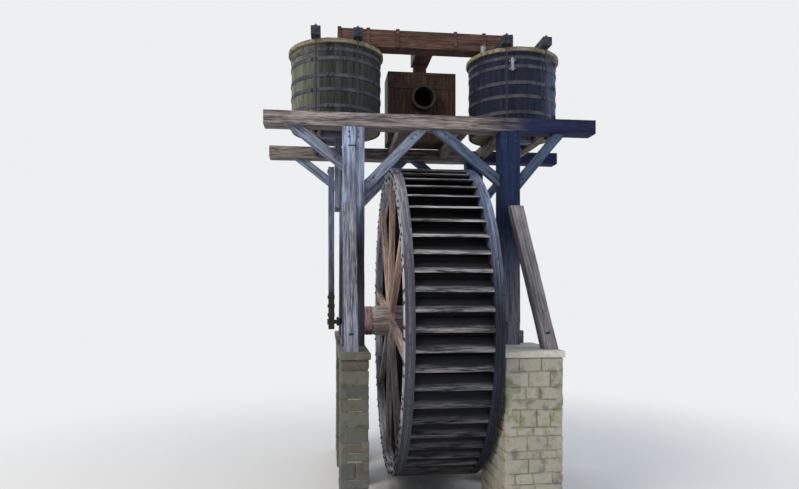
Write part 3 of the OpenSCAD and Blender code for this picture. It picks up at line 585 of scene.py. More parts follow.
# Knee braces: short struts, mortised into the posts and the beams and pegged through. The same
# riven pegs hold the tenons of the post heads.
BRACE_HALF_W = 0.1
BRACE_HALF_T = 0.08
MIDDLE_BRACES = (-0.17, -0.16)
PEG_R = 0.018
PEG_OUT = 0.012
PEG_SHARES = (0.09, 0.16, 0.84, 0.91)
POST_PEG_X = 0.09
POST_PEG_DROPS = (0.1, 0.2)


def slanted(start, end, across, deep):
    """Corners of one box that runs from start to end, with half sizes across and deep."""
    cx, cy, cz = CORNERS.T[..., None]
    return start + cx * (end - start) + (2 * cy - 1) * np.array(across) + (2 * cz - 1) * np.array(deep)


def studs(places, out, radius, height, sides, rng, square_foot=0.0):
    """Domed studs: each is a prism of sides corners about its place, drawn out along out and
    closed by a smaller ring at height. square_foot adds a flat washer of that half width."""
    out = unit(np.array(out, float))
    a = unit(np.cross(out, UP if abs(out[2]) < 0.9 else (1, 0, 0)))
    b = np.cross(out, a)
    angle = np.arange(sides)[:, None] * 2 * math.pi / sides
    rings = np.stack([radius * k * (np.cos(angle) * a + np.sin(angle) * b) + out * height * h
                      for k, h in ((1, -0.3), (1, 0.75), (0.72, 1.0))])
    shifts = rng.uniform(0, 40, (len(places), 3))
    tones = rng.uniform(0, 1, len(places))
    shells = [skin(p + rings, p + rings + shift, tone) for p, shift, tone in zip(places, shifts, tones)]
    if square_foot:
        feet = [slanted(p - out * 0.004, p + out * height * 0.3, a * square_foot, b * square_foot)
                for p in places]
        shells.append(worn_boxes(feet, 0.003, rng))
    return joined(*shells)


# The braces turn darker blue towards the right: painted shade.
brace_oak = weathered_oak("hewn oak, slate blue", "#97a3bc", "#3e4658", "#4c4c55", 0.45,
                          fade=("X", -0.3, 0.8, "#44536c"))
peg_oak = weathered_oak("riven oak pegs", "#5d5a58", "#2d2a28", "#201e1e", 0.4, fibre_mm=6)
post_faces = [v[0] for post in ("post_front_left", "post_front_right") for v in ends_of(post)]
brace_lows = (-9, post_faces[1], MIDDLE_BRACES[1], post_faces[3])
brace_highs = (post_faces[0], MIDDLE_BRACES[0], post_faces[2], 9)
pegs = {"front": [], "rear": []}
for end, out in (("front", -1), ("rear", 1)):
    shells = []
    for low_x, high_x, post_x in zip(brace_lows, brace_highs, post_faces):
        points = loose_points("braces_" + end, low_x, high_x)
        foot = middle_of(points[abs(points[:, 0] - post_x) < 0.003])
        head = middle_of(points[points[:, 2] > points[:, 2].max() - 0.003])
        across = np.cross(unit(head - foot), (0, 1, 0))
        shells.append(hewn(foot, head, across * BRACE_HALF_W, (0, BRACE_HALF_T, 0), timber_rng,
                           cuts=((1, 0, 0), UP), stations=22, checks=0.7))
        pegs[end] += [foot + (head - foot) * share + [0, out * BRACE_HALF_T, 0] for share in PEG_SHARES]
    piece(f"braces_{end}_timber", joined(*shells), brace_oak, "brace_timber", "braces_" + end)
for end, out in (("front", -1), ("rear", 1)):
    for side in ("left", "right"):
        low, high = ends_of(f"post_{end}_{side}")
        face_y = low[1] if out < 0 else high[1]
        pegs[end] += [np.array([(low[0] + high[0]) / 2 + dx, face_y, high[2] - drop])
                      for dx in (-POST_PEG_X, POST_PEG_X) for drop in POST_PEG_DROPS]
    piece(f"pegs_{end}", studs(pegs[end], (0, out, 0), PEG_R, PEG_OUT, 8, timber_rng), peg_oak,
          "brown_timber")

# Floor joists, crosshead guides and bearing sills: sawn timbers. The joists are let in between
# the beams, and the guides hang from headers between them and keep each piston rod upright.
JOIST_HALF = 0.1
BAR_OFF = 0.43
CHEST_JOIST = 0.62
HEADER_H = 0.2
GUIDE_MID = 1.965
GUIDE_HALF = 0.07
GUIDE_GAP = 0.46
SILL_IN = 1.5
SAWN = {"wander": 0.002, "worn": 0.008}


def cross_timbers(name, middles, rng, **more):
    """Timbers from front to back at middles, 2 JOIST_HALF wide, that fill a CAD node's box."""
    low, high = ends_of(name)
    return joined(*(hewn_box([x - JOIST_HALF, *low[1:]], [x + JOIST_HALF, *high[1:]], 1, rng, **more)
                    for x in middles))


floor_oak = weathered_oak("sawn oak, under the floor", "#8b8078", "#3b3330", "#2c2a2d", 0.5)
guide_oak = weathered_oak("sawn oak, grey guides", "#8b93a3", "#474e5c", "#3a3a40", 0.4)
tub_mid = {side: middle_of(np.array(ends_of("tub_" + side)))[0] for side in ("left", "right")}
bar_mids = [tub_mid[side] + k * BAR_OFF for side in tub_mid for k in (-1, 1)]
joists = cross_timbers("floor_joists", (*bar_mids, -CHEST_JOIST, CHEST_JOIST), timber_rng, stations=24,
                       **SAWN)
piece("floor_joist_timbers", joists, floor_oak, "beam_timber", "floor_joists")

guide_low, guide_high = ends_of("guides")
header_z = guide_high[2] - HEADER_H
shells = []
for side in (-1, 1):
    low_x, high_x = sided(side, *(tub_mid["right"] + k * (BAR_OFF - JOIST_HALF) for k in (-1, 1)))
    for end in (-1, 1):
        low_y, high_y = sided(end, GUIDE_GAP / 2, guide_high[1])
        shells.append(hewn_box([low_x, low_y, header_z], [high_x, high_y, guide_high[2]], 0, timber_rng,
                               stations=10, wander=0.002))
        shells.append(hewn_box([side * GUIDE_MID - GUIDE_HALF, low_y, guide_low[2]],
                               [side * GUIDE_MID + GUIDE_HALF, high_y, header_z], 2, timber_rng,
                               stations=20, **SAWN))
piece("guide_timbers", joined(*shells), guide_oak, "grey_timber", "guides")

sill_low, sill_high = ends_of("bearing_sills")
sills = [hewn_box([low_x, *sill_low[1:]], [high_x, *sill_high[1:]], 1, timber_rng, stations=30)
         for low_x, high_x in (sided(side, SILL_IN, sill_high[0]) for side in (-1, 1))]
piece("bearing_sill_timbers", joined(*sills), guide_oak, "grey_timber", "bearing_sills")


# Ironwork: cast bearings and forged cranks, pistons, tie rods and bands. Old iron is nearly
# black where it is handled and rusts brown or pink where it isn't.
def old_iron(name, dark, rust, rust_share, roughness=0.55):
    """Hammered or cast iron with a brown skin: scale marks of about 30 mm and rust patches."""
    made, add, place = started(name)
    cloud = add("TexNoise", {"Vector": place, "Scale": millimetres(180), "Detail": 6.0, "Roughness": 0.7})
    marks = add("TexNoise", {"Vector": place, "Scale": millimetres(30), "Detail": 3.0})
    rusted = add("MapRange", [cloud, 0.42, 0.62, 0.0, rust_share])
    colour = add("Mix", {0: rusted, 6: linear(dark), 7: linear(rust)}, **BLEND)
    metal = add("MapRange", [rusted, 0.0, 1.0, 0.85, 0.1])
    rough = add("MapRange", [rusted, 0.0, 1.0, roughness, 0.9])
    return surfaced(made, 0.4, 0.003, marks, {"Base Color": colour, "Metallic": metal, "Roughness": rough})


black_iron = old_iron("forged iron, black", "#2a2b30", "#4b3327", 0.6)
rod_iron = old_iron("wrought iron rods", "#2c2e36", "#3d3634", 0.6)
pink_iron = old_iron("rusted bands, pink", "#8a6f74", "#c2959c", 0.95, 0.7)
for finish, names in ((black_iron, ("bearings", "crank_left", "crank_right", "piston_left", "piston_right",
                                    "rod_straps_left", "rod_straps_right", "blast_outlet")),
                      (rod_iron, ("tie_rods",)), (pink_iron, ("shaft_bands",))):
    for name in names:
        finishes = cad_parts[name].data.materials
        finishes.clear()
        finishes.append(finish)

# Iron dogs: a short flat bar driven across the head of each left post, and a small plate on the
# foot of each raker, so that a timber that checks with the weather doesn't split open.
DOG_HALF = 0.075
DOG_HALF_H = 0.011
DOG_OFF = 0.03
DOG_DROP = 0.37
PLATE_HALF = 0.042
PLATE_HALF_H = 0.02
PLATE_UP = 0.28
DOG_OUT = 0.007
dogs = []
for end, out in (("front", -1), ("rear", 1)):
    low, high = ends_of(f"post_{end}_left")
    spot = np.array([(low[0] + high[0]) / 2 - DOG_OFF, low[1] if out < 0 else high[1], high[2] - DOG_DROP])
    dogs.append(slanted(spot - [DOG_HALF, 0, 0], spot + [DOG_HALF, 0, 0], (0, DOG_OUT, 0),
                        (0, 0, DOG_HALF_H)))
    for foot, head, across, deep in raker_lines[end]:
        along, wide = unit(head - foot), unit(across)
        spot = foot + along * PLATE_UP + deep * (1 if deep[1] * out > 0 else -1)
        dogs.append(slanted(spot - wide * PLATE_HALF, spot + wide * PLATE_HALF, unit(deep) * DOG_OUT,
                            along * PLATE_HALF_H))
piece("iron_dogs", worn_boxes(dogs, 0.003, timber_rng), black_iron, "iron")

# Shaft: one trunk hewn to eight sides where the arms bear, and turned round at the ends, where
# iron bands keep it from splitting round the gudgeons.
ARM_TURN = math.radians(-10)
ARM_COUNT = 8
HALF_PITCH = math.pi / ARM_COUNT
SHAFT_APOTHEM = 0.31
SHAFT_FLAT = 1.15
SHAFT_EASE = 0.03
SHAFT_WORN = 0.006
SHAFT_ROUND = 0.999 * SHAFT_APOTHEM
ARRIS_LIMIT = 1.07 * SHAFT_APOTHEM
SHAFT_CHECKS = 14


def trunk(low_x, high_x, turn, rng, stations=60, ring=96):
    """S(x, a) = (x, r cos a, axle + r sin a). r is the octagon's apothem over the cosine of the
    angle to the nearest flat, at most ARRIS_LIMIT where the arrises are worn, and passes to a
    circle of SHAFT_ROUND beyond SHAFT_FLAT. Shallow drying checks run along it.
    Three rings of a smaller r close each end, the outer one as a worn edge."""
    flat_ends = [k * (SHAFT_FLAT + ease) for k in (-1, 1) for ease in (0, SHAFT_EASE)]
    x = np.sort([*np.linspace(low_x + SHAFT_WORN, high_x - SHAFT_WORN, stations), *flat_ends])
    x = np.array([low_x] * 3 + [*x] + [high_x] * 3)
    share = np.ones(len(x))
    share[:3], share[-3:] = (0.1, 0.5, 0.98), (0.98, 0.5, 0.1)
    a = np.linspace(0, 2 * math.pi, ring, endpoint=False)
    to_flat = (a - turn + HALF_PITCH) % (2 * HALF_PITCH) - HALF_PITCH
    octagon = np.minimum(SHAFT_APOTHEM / np.cos(to_flat), ARRIS_LIMIT)
    blend = np.clip((abs(x) - SHAFT_FLAT) / SHAFT_EASE, 0, 1)[:, None]
    r = octagon * (1 - blend) + SHAFT_ROUND * blend
    for _ in range(SHAFT_CHECKS):
        at = rng.integers(ring)
        r[:, at] -= CHECK_DEPTH * opening(x, *np.sort(rng.uniform(low_x, high_x, 2)))
    r *= share[:, None]
    points = np.stack([np.repeat(x[:, None], ring, 1), r * np.cos(a), axle_z + r * np.sin(a)], 2)
    grain = np.stack([points[..., 0], np.broadcast_to(a * SHAFT_APOTHEM, r.shape), r], 2)
    grain[:3], grain[-3:] = points[:3], points[-3:]
    return skin(points, grain, 0.6)


wheel_rng = np.random.default_rng(37)
shaft_low, shaft_high = ends_of("shaft")
shaft_oak = weathered_oak("oak trunk, worn pale", "#dcd8d6", "#8b8180", "#866a62", 0.45)
piece("shaft_trunk", trunk(shaft_low[0], shaft_high[0], math.pi - ARM_TURN, wheel_rng), shaft_oak,
      "shaft_timber", "shaft", body="wheel")

# Arms: eight to a side, of sawn oak, spiked to the shaft's flats and running out to the rim.
# The lower ones have weathered paler.
ARM_X = 0.79
ARM_HALF_W = 0.11
ARM_HALF_T = 0.06
ARM_END = 3.047


def spoke(a):
    """Two directions in the wheel's plane at angle a: out from the axle, and across that."""
    return np.array([0, math.cos(a), math.sin(a)]), np.array([0, -math.sin(a), math.cos(a)])


# The arms' pale colours stand for the sun on the wheel's left face: painted light.
arm_oak = weathered_oak("sawn oak, brown arms", "#e2c3b2", "#8f7365", "#94796c", 0.5,
                        fade=("Z", axle_z + 0.1, axle_z - 0.6, "#a39a9a"))
arm_angles = [math.pi - ARM_TURN - k * 2 * HALF_PITCH for k in range(ARM_COUNT)]
for side, name in ((-1, "arms_left"), (1, "arms_right")):
    hub = np.array([side * ARM_X, 0, axle_z])
    arms = [hewn(hub + out * SHAFT_APOTHEM, hub + out * ARM_END, across * ARM_HALF_W, (ARM_HALF_T, 0, 0),
                 wheel_rng, stations=24, **SAWN) for out, across in map(spoke, arm_angles)]
    piece(name + "_timbers", joined(*arms), arm_oak, "brown_timber", name, body="wheel")

# Arm wedges and cleats: oak wedges driven between the arms where they stand on the shaft, and a
# corner cleat spiked on either side of each arm's outer end against the rim.
WEDGE_IN = 0.335
WEDGE_OUT = 0.5
WEDGE_HALF_T = 0.052
CLEAT_REACH = 0.13
CLEAT_TOE = 0.025
CLEAT_R = 3.048
FREE = 0.001


def flat_block(side, angle, outline):
    """A block in the plane of one side's arms, with angle as its middle line. Its (r, t) outline
    has two near and two far corners, low t first, and it is 2 WEDGE_HALF_T thick."""
    out, across = spoke(angle)
    r, t = np.array(outline)[2 * CORNERS[:, 0] + CORNERS[:, 1]].T[..., None]
    x = side * ARM_X + WEDGE_HALF_T * (2 * CORNERS[:, 2:] - 1)
    return x * [1, 0, 0] + r * out + t * across + [0, 0, axle_z]


def wedge_edge(r):
    """Half the clear width between two arms at r: (r sin p - arm half width) / cos p, less FREE."""
    return (r * math.sin(HALF_PITCH) - ARM_HALF_W) / math.cos(HALF_PITCH) - FREE


wedge = [(r, s * wedge_edge(r)) for r in (WEDGE_IN, WEDGE_OUT) for s in (-1, 1)]
blocks = []
for side in (-1, 1):
    for angle in arm_angles:
        blocks.append(flat_block(side, angle - HALF_PITCH, wedge))
        for edge in (-1, 1):
            near, toe, far = (edge * (ARM_HALF_W + reach) for reach in (FREE, CLEAT_TOE, CLEAT_REACH))
            blocks.append(flat_block(side, angle, [
                (CLEAT_R - CLEAT_REACH, near), (CLEAT_R - CLEAT_REACH, toe),
                (math.sqrt(CLEAT_R ** 2 - near ** 2), near), (math.sqrt(CLEAT_R ** 2 - far ** 2), far)]))
piece("arm_wedges_and_cleats", worn_boxes(blocks, 0.004, wheel_rng), arm_oak, "brown_timber", body="wheel")

# Rims: three layers of curved oak felloes, their ends broken from layer to layer and bolted
# through. The left rim is painted white and the right one grey: lit and shaded copies of one oak,
# painted light and painted shade. The right one is wet and turns dark below, and the left one's
# outer edge turns dark lower down: both painted shade.
RIM_OUT = 3.35
RIM_IN = 3.05
RIM_INNER_X = 0.70
PLY = 0.06
PLY_SEAM = 0.0015
PLY_STEP = 0.003
FELLOES = 16
FELLOE_GAP = 0.004
BOLT_R = 0.022
BOLT_OUT = 0.02
BOLT_EDGE = 0.07
BOLT_FOOT = 0.034
BOLT_SHARES = (0.08, 0.42, 0.58, 0.92)


def felloe(x_low, x_high, radius, a_low, a_high, rng, worn=0.005, steps=9):
    """One curved board: S(u, v) = (x(v), r(v) cos a(u), axle + r(v) sin a(u)), where (x, r) runs
    round a rectangle with cut corners, out to radius, and a runs from a_low to a_high."""
    x, r = np.array([(x_low + worn, RIM_IN), (x_high - worn, RIM_IN), (x_high, RIM_IN + worn),
                     (x_high, radius - worn), (x_high - worn, radius), (x_low + worn, radius),
                     (x_low, radius - worn), (x_low, RIM_IN + worn)]).T
    a = np.linspace(a_low, a_high, steps)[:, None]
    x, r, a = np.broadcast_arrays(x, r, a)
    points = np.stack([x, r * np.cos(a), axle_z + r * np.sin(a)], 2)
    grain = np.stack([a * (RIM_IN + radius) / 2, x, r], 2) + rng.uniform(0, 40, 3)
    return skin(points, grain, rng.uniform(0, 1))


# The left rim is painted white as painted light, and its outer edge turns dark lower down as painted shade.
# The right rim turns dark below: painted shade.
rim_white = weathered_oak("oak felloes, painted sunlit white", "#dcdce6", "#747482", "#3a3d48", 0.25,
                          lip=(3.336, 3.348, "#2e323c", axle_z + 3.0, axle_z + 1.0))
rim_grey = weathered_oak("oak felloes, grey and wet, painted shade below", "#97a3c0", "#3a4866", "#2b3550", 0.4,
                         fade=("Z", axle_z + 2.4, axle_z + 0.4, "#131a26"), wet=0.2)
bolt_iron = old_iron("bolt heads, rusted", "#343336", "#5c4036", 0.75)
step = 2 * math.pi / FELLOES
gap = FELLOE_GAP / RIM_OUT / 2
for side, name, finish, slot in ((-1, "rim_left", rim_white, "rim_pale"),
                                 (1, "rim_right", rim_grey, "rim_dark")):
    shells = []
    for ply in range(3):
        x_low, x_high = sided(side, RIM_INNER_X + ply * PLY + PLY_SEAM,
                              RIM_INNER_X + (ply + 1) * PLY - PLY_SEAM)
        broken = ply % 2
        begins = [(k + broken / 2) * step + ARM_TURN for k in range(FELLOES)]
        shells += [felloe(x_low, x_high, RIM_OUT - broken * PLY_STEP, a + gap, a + step - gap, wheel_rng)
                   for a in begins]
    hub = np.array([side * (RIM_INNER_X + 3 * PLY), 0, axle_z])
    bolts = [hub + r * spoke(ARM_TURN + (k + share) * step)[0] for k in range(FELLOES)
             for share in BOLT_SHARES for r in (RIM_IN + BOLT_EDGE, RIM_OUT - BOLT_EDGE)]
    piece(name + "_felloes", joined(*shells), finish, slot, name, body="wheel")
    piece(name + "_bolts", studs(bolts, (side, 0, 0), BOLT_R, BOLT_OUT, 6, wheel_rng, BOLT_FOOT), bolt_iron,
          "iron", body="wheel")

# Buckets: boards let into the rims. The sole closes the ring, a short floor stands on it, and
# the slanted front holds the water; its lip is worn bare where water and ice pass over it, and
# is painted paler higher on the wheel as painted light. The boards are painted near black as
# painted shade inside the buckets.
BUCKETS = 60
LIP_TURN = math.radians(-0.5)
LIP_R = 3.345
LIP_REACH = 0.21
SOLE_OUT = 3.09
ELBOW_R = 3.17
FRONT_T = 0.034
FLOOR_T = 0.03
pitch = 2 * math.pi / BUCKETS
lead = math.asin(LIP_REACH / LIP_R)
slant = math.atan(LIP_REACH / (LIP_R * math.cos(lead) - ELBOW_R))
lip_half = FRONT_T / math.cos(slant) / 2


def bucket_boards(section):
    """One board for each bucket, from rim to rim. The four (radius, run) points of its section
    stand in the bucket's own frame, turned by the bucket's angle: two inner, then two outer."""
    turn = (math.pi - LIP_TURN - lead - np.arange(BUCKETS) * pitch)[:, None]
    radius, run = np.array(section)[2 * CORNERS[:, 1] + CORNERS[:, 2]].T
    x = np.broadcast_to(RIM_INNER_X * (2 * CORNERS[:, 0] - 1), (BUCKETS, 8))
    return np.stack([x, radius * np.cos(turn) - run * np.sin(turn),
                     axle_z + radius * np.sin(turn) + run * np.cos(turn)], 2)


# Soles, floors and fronts are near black: painted shade inside the buckets. The fronts' pale lip is wear
# and, growing higher up, painted light.
sole_oak = weathered_oak("sole boards, black, painted shade", "#1f1d1e", "#090809", "#07090e", 0.6, wet=0.1)
shaded_bucket_oak = weathered_oak("bucket oak, black, painted shade", "#181d28", "#06080c", "#04060a", 0.5, wet=0.1,
                        lip=(3.27, 3.35, "#cfcbcd", axle_z - 1.2, axle_z + 2.2))
sole = [(r, s * (r * math.tan(pitch / 2) - FREE)) for r in (RIM_IN, SOLE_OUT) for s in (-1, 1)]
floor_board = [(r, s * FLOOR_T / 2) for r in (SOLE_OUT, ELBOW_R) for s in (-1, 1)]
lips = [(math.sqrt(LIP_R ** 2 - run ** 2), run) for run in (LIP_REACH - lip_half, LIP_REACH + lip_half)]
for name, section, worn, finish, hidden in (
        ("sole_planks", sole, 0.003, sole_oak, "sole_boards"),
        ("bucket_floor_planks", floor_board, 0.003, shaded_bucket_oak, "bucket_floors"),
        ("bucket_front_planks", [(ELBOW_R, -lip_half), (ELBOW_R, lip_half), *lips], 0.006, shaded_bucket_oak,
         "bucket_fronts")):
    piece(name, worn_boxes(bucket_boards(section), worn, wheel_rng), finish, "wet_timber", hidden,
          body="wheel")

# Connecting rods: long ash poles, each squared, with iron straps round the end that turns on
# the crank. They ride on their own bodies and keep their lean as the crank goes round.
THROW = 0.45
ROD_HALF_W = 0.065
ROD_TAIL = 0.15
ROD_NOSE = 0.09
WRIST_H = 3.3
STRAP_FIRST = 0.12
STRAP_PITCH = 0.19
STRAP_PROUD = 0.008
STRAP_BOLTS_ALONG = (0.015, 0.045)
STRAP_BOLT_ACROSS = 0.045
STRAP_BOLT_R = 0.011
STRAP_BOLT_OUT = 0.01
# The rods turn darker towards their lower ends: painted shade.
rod_ash = weathered_oak("planed ash, blue grey", "#7f8eac", "#333d52", "#2e3648", 0.5,
                        fade=("Z", axle_z + 2.2, axle_z + 0.2, "#343a48"))
for side, name in ((-1, "left"), (1, "right")):
    low, high = ends_of("connecting_rod_" + name)
    middle_x, half_x = (low[0] + high[0]) / 2, (high[0] - low[0]) / 2
    pin = np.array([middle_x, side * THROW, axle_z])
    wrist = np.array([middle_x, 0, axle_z + WRIST_H])
    along = unit(wrist - pin)
    across = np.cross(along, (1, 0, 0))
    pole = hewn(pin - along * ROD_TAIL, wrist + along * ROD_NOSE, across * ROD_HALF_W, (half_x, 0, 0),
                wheel_rng, stations=36, wander=0.0015, worn=0.009)
    piece(f"connecting_rod_{name}_pole", pole, rod_ash, "rod_timber", "connecting_rod_" + name,
          body="rod_" + name)
    face = pin + [side * (half_x + STRAP_PROUD), 0, 0]
    bolts = [face + along * (STRAP_FIRST + k * STRAP_PITCH + up) + across * s for k in range(3)
             for up in STRAP_BOLTS_ALONG for s in (-STRAP_BOLT_ACROSS, STRAP_BOLT_ACROSS)]
    piece(f"rod_{name}_strap_bolts", studs(bolts, (side, 0, 0), STRAP_BOLT_R, STRAP_BOLT_OUT, 6, wheel_rng),
          bolt_iron, "iron", body="rod_" + name)

# Tubs: coopered of oak staves on a board bottom, and bound with six iron hoops. Staves are driven
# tight, so no light comes between them; the groove that shows is their worn edges.
STAVES = 44
STAVE_T = 0.05
SEAM = 0.0002
HOOP_SHARES = (0.062, 0.205, 0.415, 0.593, 0.807, 0.92)
HOOP_HALF = 0.0375
HOOP_T = 0.011
HOOP_CUT = 0.003
HOOP_FREE = 0.0005
HOOP_WANDER = 0.0008
LUG_OFF = 0.05
LUG_OUT = 0.035
LUG_HALF_T = 0.012
LUG_HALF_H = 0.9 * HOOP_HALF
PLANK_GAP = 0.0015
DISC_SHARE = 0.985
LID_PLANKS = 13
BOTTOM_PLANKS = 11
BOTTOM_T = 0.05
BOTTOM_FREE = 0.002
GLAND_R = 0.037
GLAND_T = 0.055


def stave_boxes(middle_x, radius, low_z, high_z):
    """Staves side by side round the tub: each spans an equal angle, less a seam outside."""
    r = np.where(CORNERS[:, 1], radius, radius - STAVE_T)
    half = math.pi / STAVES
    a = 2 * half * np.arange(STAVES)[:, None] + (2 * CORNERS[:, 2] - 1) * (half - SEAM / 2 / radius)
    z = np.broadcast_to(np.where(CORNERS[:, 0], high_z, low_z), a.shape)
    return np.stack([middle_x + r * np.cos(a), r * np.sin(a), z], 2)


def turned(x, y, profile, rng, steps, wander=0.0):
    """A round fitting about the upright line at x, y: S(a, v) = (x + r(v) cos a, y + r(v) sin a,
    z(v)), where (r, z) runs round the closed profile and r wanders a little with a."""
    a = np.linspace(0, 2 * math.pi, steps, endpoint=False)[:, None]
    r, z = np.array(profile).T
    r = r + wander * np.sin(5 * a + rng.uniform(0, 6))
    points = np.stack([x + r * np.cos(a), y + r * np.sin(a), np.broadcast_to(z, r.shape)], 2)
    return skin(points, points + rng.uniform(0, 9, 3), 0.5, closed=True)


def hoop(x, y, radius, low_z, high_z, thick, rng, steps):
    """A flat band: a rectangle with cut outer corners, turned about the upright line at x, y."""
    far = radius + thick
    return turned(x, y, [(radius, low_z), (far - HOOP_CUT, low_z), (far, low_z + HOOP_CUT),
                         (far, high_z - HOOP_CUT), (far - HOOP_CUT, high_z), (radius, high_z)],
                  rng, steps, HOOP_WANDER)


def disc_planks(middle_x, radius, low_z, high_z, count, rng):
    """Planks side by side across a disc; each end is cut to the circle from the plank's one
    edge to the other, so x = sqrt(radius^2 - y^2) at its four corners. The outer two stop at
    DISC_SHARE of the radius, so that their outer edges keep a length."""
    y = np.linspace(-radius, radius, count + 1)[:, None]
    y[[0, -1]] *= DISC_SHARE
    y = np.where(CORNERS[:, 1], y[1:] - PLANK_GAP, y[:-1] + PLANK_GAP)
    x = middle_x + (2 * CORNERS[:, 0] - 1) * np.sqrt(radius ** 2 - y ** 2)
    z = np.broadcast_to(np.where(CORNERS[:, 2], high_z, low_z), y.shape)
    return worn_boxes(np.stack([x, y, z], 2), 0.005, rng)


tub_rng = np.random.default_rng(53)
# Each tub's staves turn paler towards its outer side: painted light.
left_staves = weathered_oak("coopered oak, green black", "#3d443e", "#111514", "#0f1513", 0.5, wet=0.1,
                            fade=("X", -2.2, -3.1, "#6f7464"))
right_staves = weathered_oak("coopered oak, blue black", "#1e2a48", "#070b16", "#060a14", 0.5, wet=0.1,
                             fade=("X", 2.3, 3.1, "#56627e"))
hoop_grey = old_iron("hoop iron, grey", "#3a3c46", "#5c5963", 0.75, 0.65)
board_oak = weathered_oak("sawn lid boards", "#a39a80", "#5c5545", "#423d36", 0.5, crack_share=0.12)
lid_low, lid_high = ends_of("tub_lids")
lid_radius = (lid_high[1] - lid_low[1]) / 2
gland_foot = ends_of("tub_floors")[0][2]
hoops, lugs, lids, bottoms, glands = [], [], [], [], []
for side, name, finish, slot in ((-1, "left", left_staves, "tub_green"),
                                 (1, "right", right_staves, "tub_navy")):
    low, high = ends_of("tub_" + name)
    tub_radius = (high[0] - low[0]) / 2
    middle = tub_mid[name]
    piece(f"tub_{name}_staves", worn_boxes(stave_boxes(middle, tub_radius, low[2], high[2]), 0.006, tub_rng),
          finish, slot, "tub_" + name)
    for k, share in enumerate(HOOP_SHARES):
        z = low[2] + share * (high[2] - low[2])
        hoops.append(hoop(middle, 0, tub_radius + HOOP_FREE, z - HOOP_HALF, z + HOOP_HALF, HOOP_T,
                          tub_rng, 96))
        out, across = np.roll(spoke(-math.pi / 2 + side * 0.5 + 0.35 * (k % 2)), -1, 1)
        for s in (-LUG_OFF, LUG_OFF):
            spot = [middle, 0, z] + out * (tub_radius + HOOP_T + FREE) + across * s
            lugs.append(slanted(spot, spot + out * LUG_OUT, across * LUG_HALF_T, (0, 0, LUG_HALF_H)))
    lids.append(disc_planks(middle, lid_radius, lid_low[2], lid_high[2], LID_PLANKS, tub_rng))
    bottoms.append(disc_planks(middle, tub_radius - STAVE_T - BOTTOM_FREE, low[2] + FREE,
                               low[2] + BOTTOM_T, BOTTOM_PLANKS, tub_rng))
    glands.append(hoop(middle, 0, GLAND_R, gland_foot, low[2], GLAND_T, tub_rng, 32))
piece("tub_hoop_bands", joined(*hoops), hoop_grey, "hoop_iron", "tub_hoops")
piece("tub_hoop_lugs", worn_boxes(lugs, 0.003, tub_rng), hoop_grey, "hoop_iron")
piece("tub_lid_boards", joined(*lids), board_oak, "lid_timber", "tub_lids")
piece("tub_bottom_boards", joined(*bottoms), board_oak, "lid_timber", "tub_floors")
piece("tub_glands", joined(*glands), black_iron, "iron")

# Lid bars: two hewn oak bars over each lid, nearly black. The tie rods pull them down to the
# joists and so hold the tub together.
bar_oak = weathered_oak("hewn oak, dark lid bars", "#474b58", "#1d2029", "#20222b", 0.5)
bars = cross_timbers("lid_bars", bar_mids, tub_rng, stations=20, wander=0.002)
piece("lid_bar_timbers", bars, bar_oak, "grey_timber", "lid_bars")

# Fittings of the right tub: a pale zinc gauge tube clipped to its front staves, and a short
# flanged stub that stands open on its lid.
GAUGE_TURN = math.radians(-106)
GAUGE_R = 0.036
GAUGE_H = 0.29
GAUGE_DROP = 0.14
GAUGE_FREE = 0.002
CLIP_IN = 0.06
CLIP_T = 0.006
CLIP_HALF_H = 0.014
PLATE_OFF = 0.008
PLATE_REACH = 0.07
PLATE_HALF_T = 0.005
PLATE_RISE = 0.016
STUB_SPOT = (-0.76, -0.36)
STUB_R = 0.06
STUB_BORE = 0.048
STUB_H = 0.22
STUB_FLANGE = 0.095
FLANGE_T = 0.012
FLANGE_BOLT_RING = 0.08
FLANGE_BOLT_R = 0.009
old_zinc = old_iron("zinc sheet, white with age", "#9498a2", "#7b7c84", 0.7, 0.6)
fitting_rng = np.random.default_rng(71)
out, across = np.roll(spoke(GAUGE_TURN), -1, 1)
gauge = [tub_mid["right"], 0, 0] + out * (tub_radius + HOOP_T + GAUGE_R + GAUGE_FREE)
low_z = ends_of("tub_right")[1][2] - GAUGE_DROP - GAUGE_H
high_z = low_z + GAUGE_H
fittings = [turned(*gauge[:2], [(0.002, low_z), (GAUGE_R * 0.8, low_z), (GAUGE_R, low_z + 0.01),
                                (GAUGE_R, high_z - 0.03), (GAUGE_R * 0.8, high_z - 0.01),
                                (GAUGE_R * 0.4, high_z), (0.002, high_z)], fitting_rng, 28)]
clips = []
for level in (low_z + CLIP_IN, high_z - CLIP_IN):
    fittings.append(hoop(*gauge[:2], GAUGE_R + HOOP_FREE, level - CLIP_HALF_H, level + CLIP_HALF_H, CLIP_T,
                         fitting_rng, 28))
    plate = gauge - out * (GAUGE_R + PLATE_OFF) + [0, 0, level]
    clips.append(slanted(plate - across * PLATE_REACH, plate + across * PLATE_REACH, out * PLATE_HALF_T,
                         (0, 0, PLATE_RISE)))
fittings.append(worn_boxes(clips, 0.002, fitting_rng))
stub = np.array([tub_mid["right"] + STUB_SPOT[0], STUB_SPOT[1], lid_high[2]])
base = stub[2]
fittings.append(turned(*stub[:2], [
    (STUB_BORE, base), (STUB_FLANGE, base), (STUB_FLANGE, base + FLANGE_T), (STUB_R + 0.006, base + 0.014),
    (STUB_R, base + 0.022), (STUB_R, base + STUB_H - 0.02), (STUB_R + 0.008, base + STUB_H - 0.014),
    (STUB_R + 0.008, base + STUB_H), (STUB_BORE, base + STUB_H)], fitting_rng, 32))
flange_bolts = [stub + [0, 0, FLANGE_T] + FLANGE_BOLT_RING * np.roll(spoke(a)[0], -1)
                for a in np.arange(4) * math.pi / 2 + 0.4]
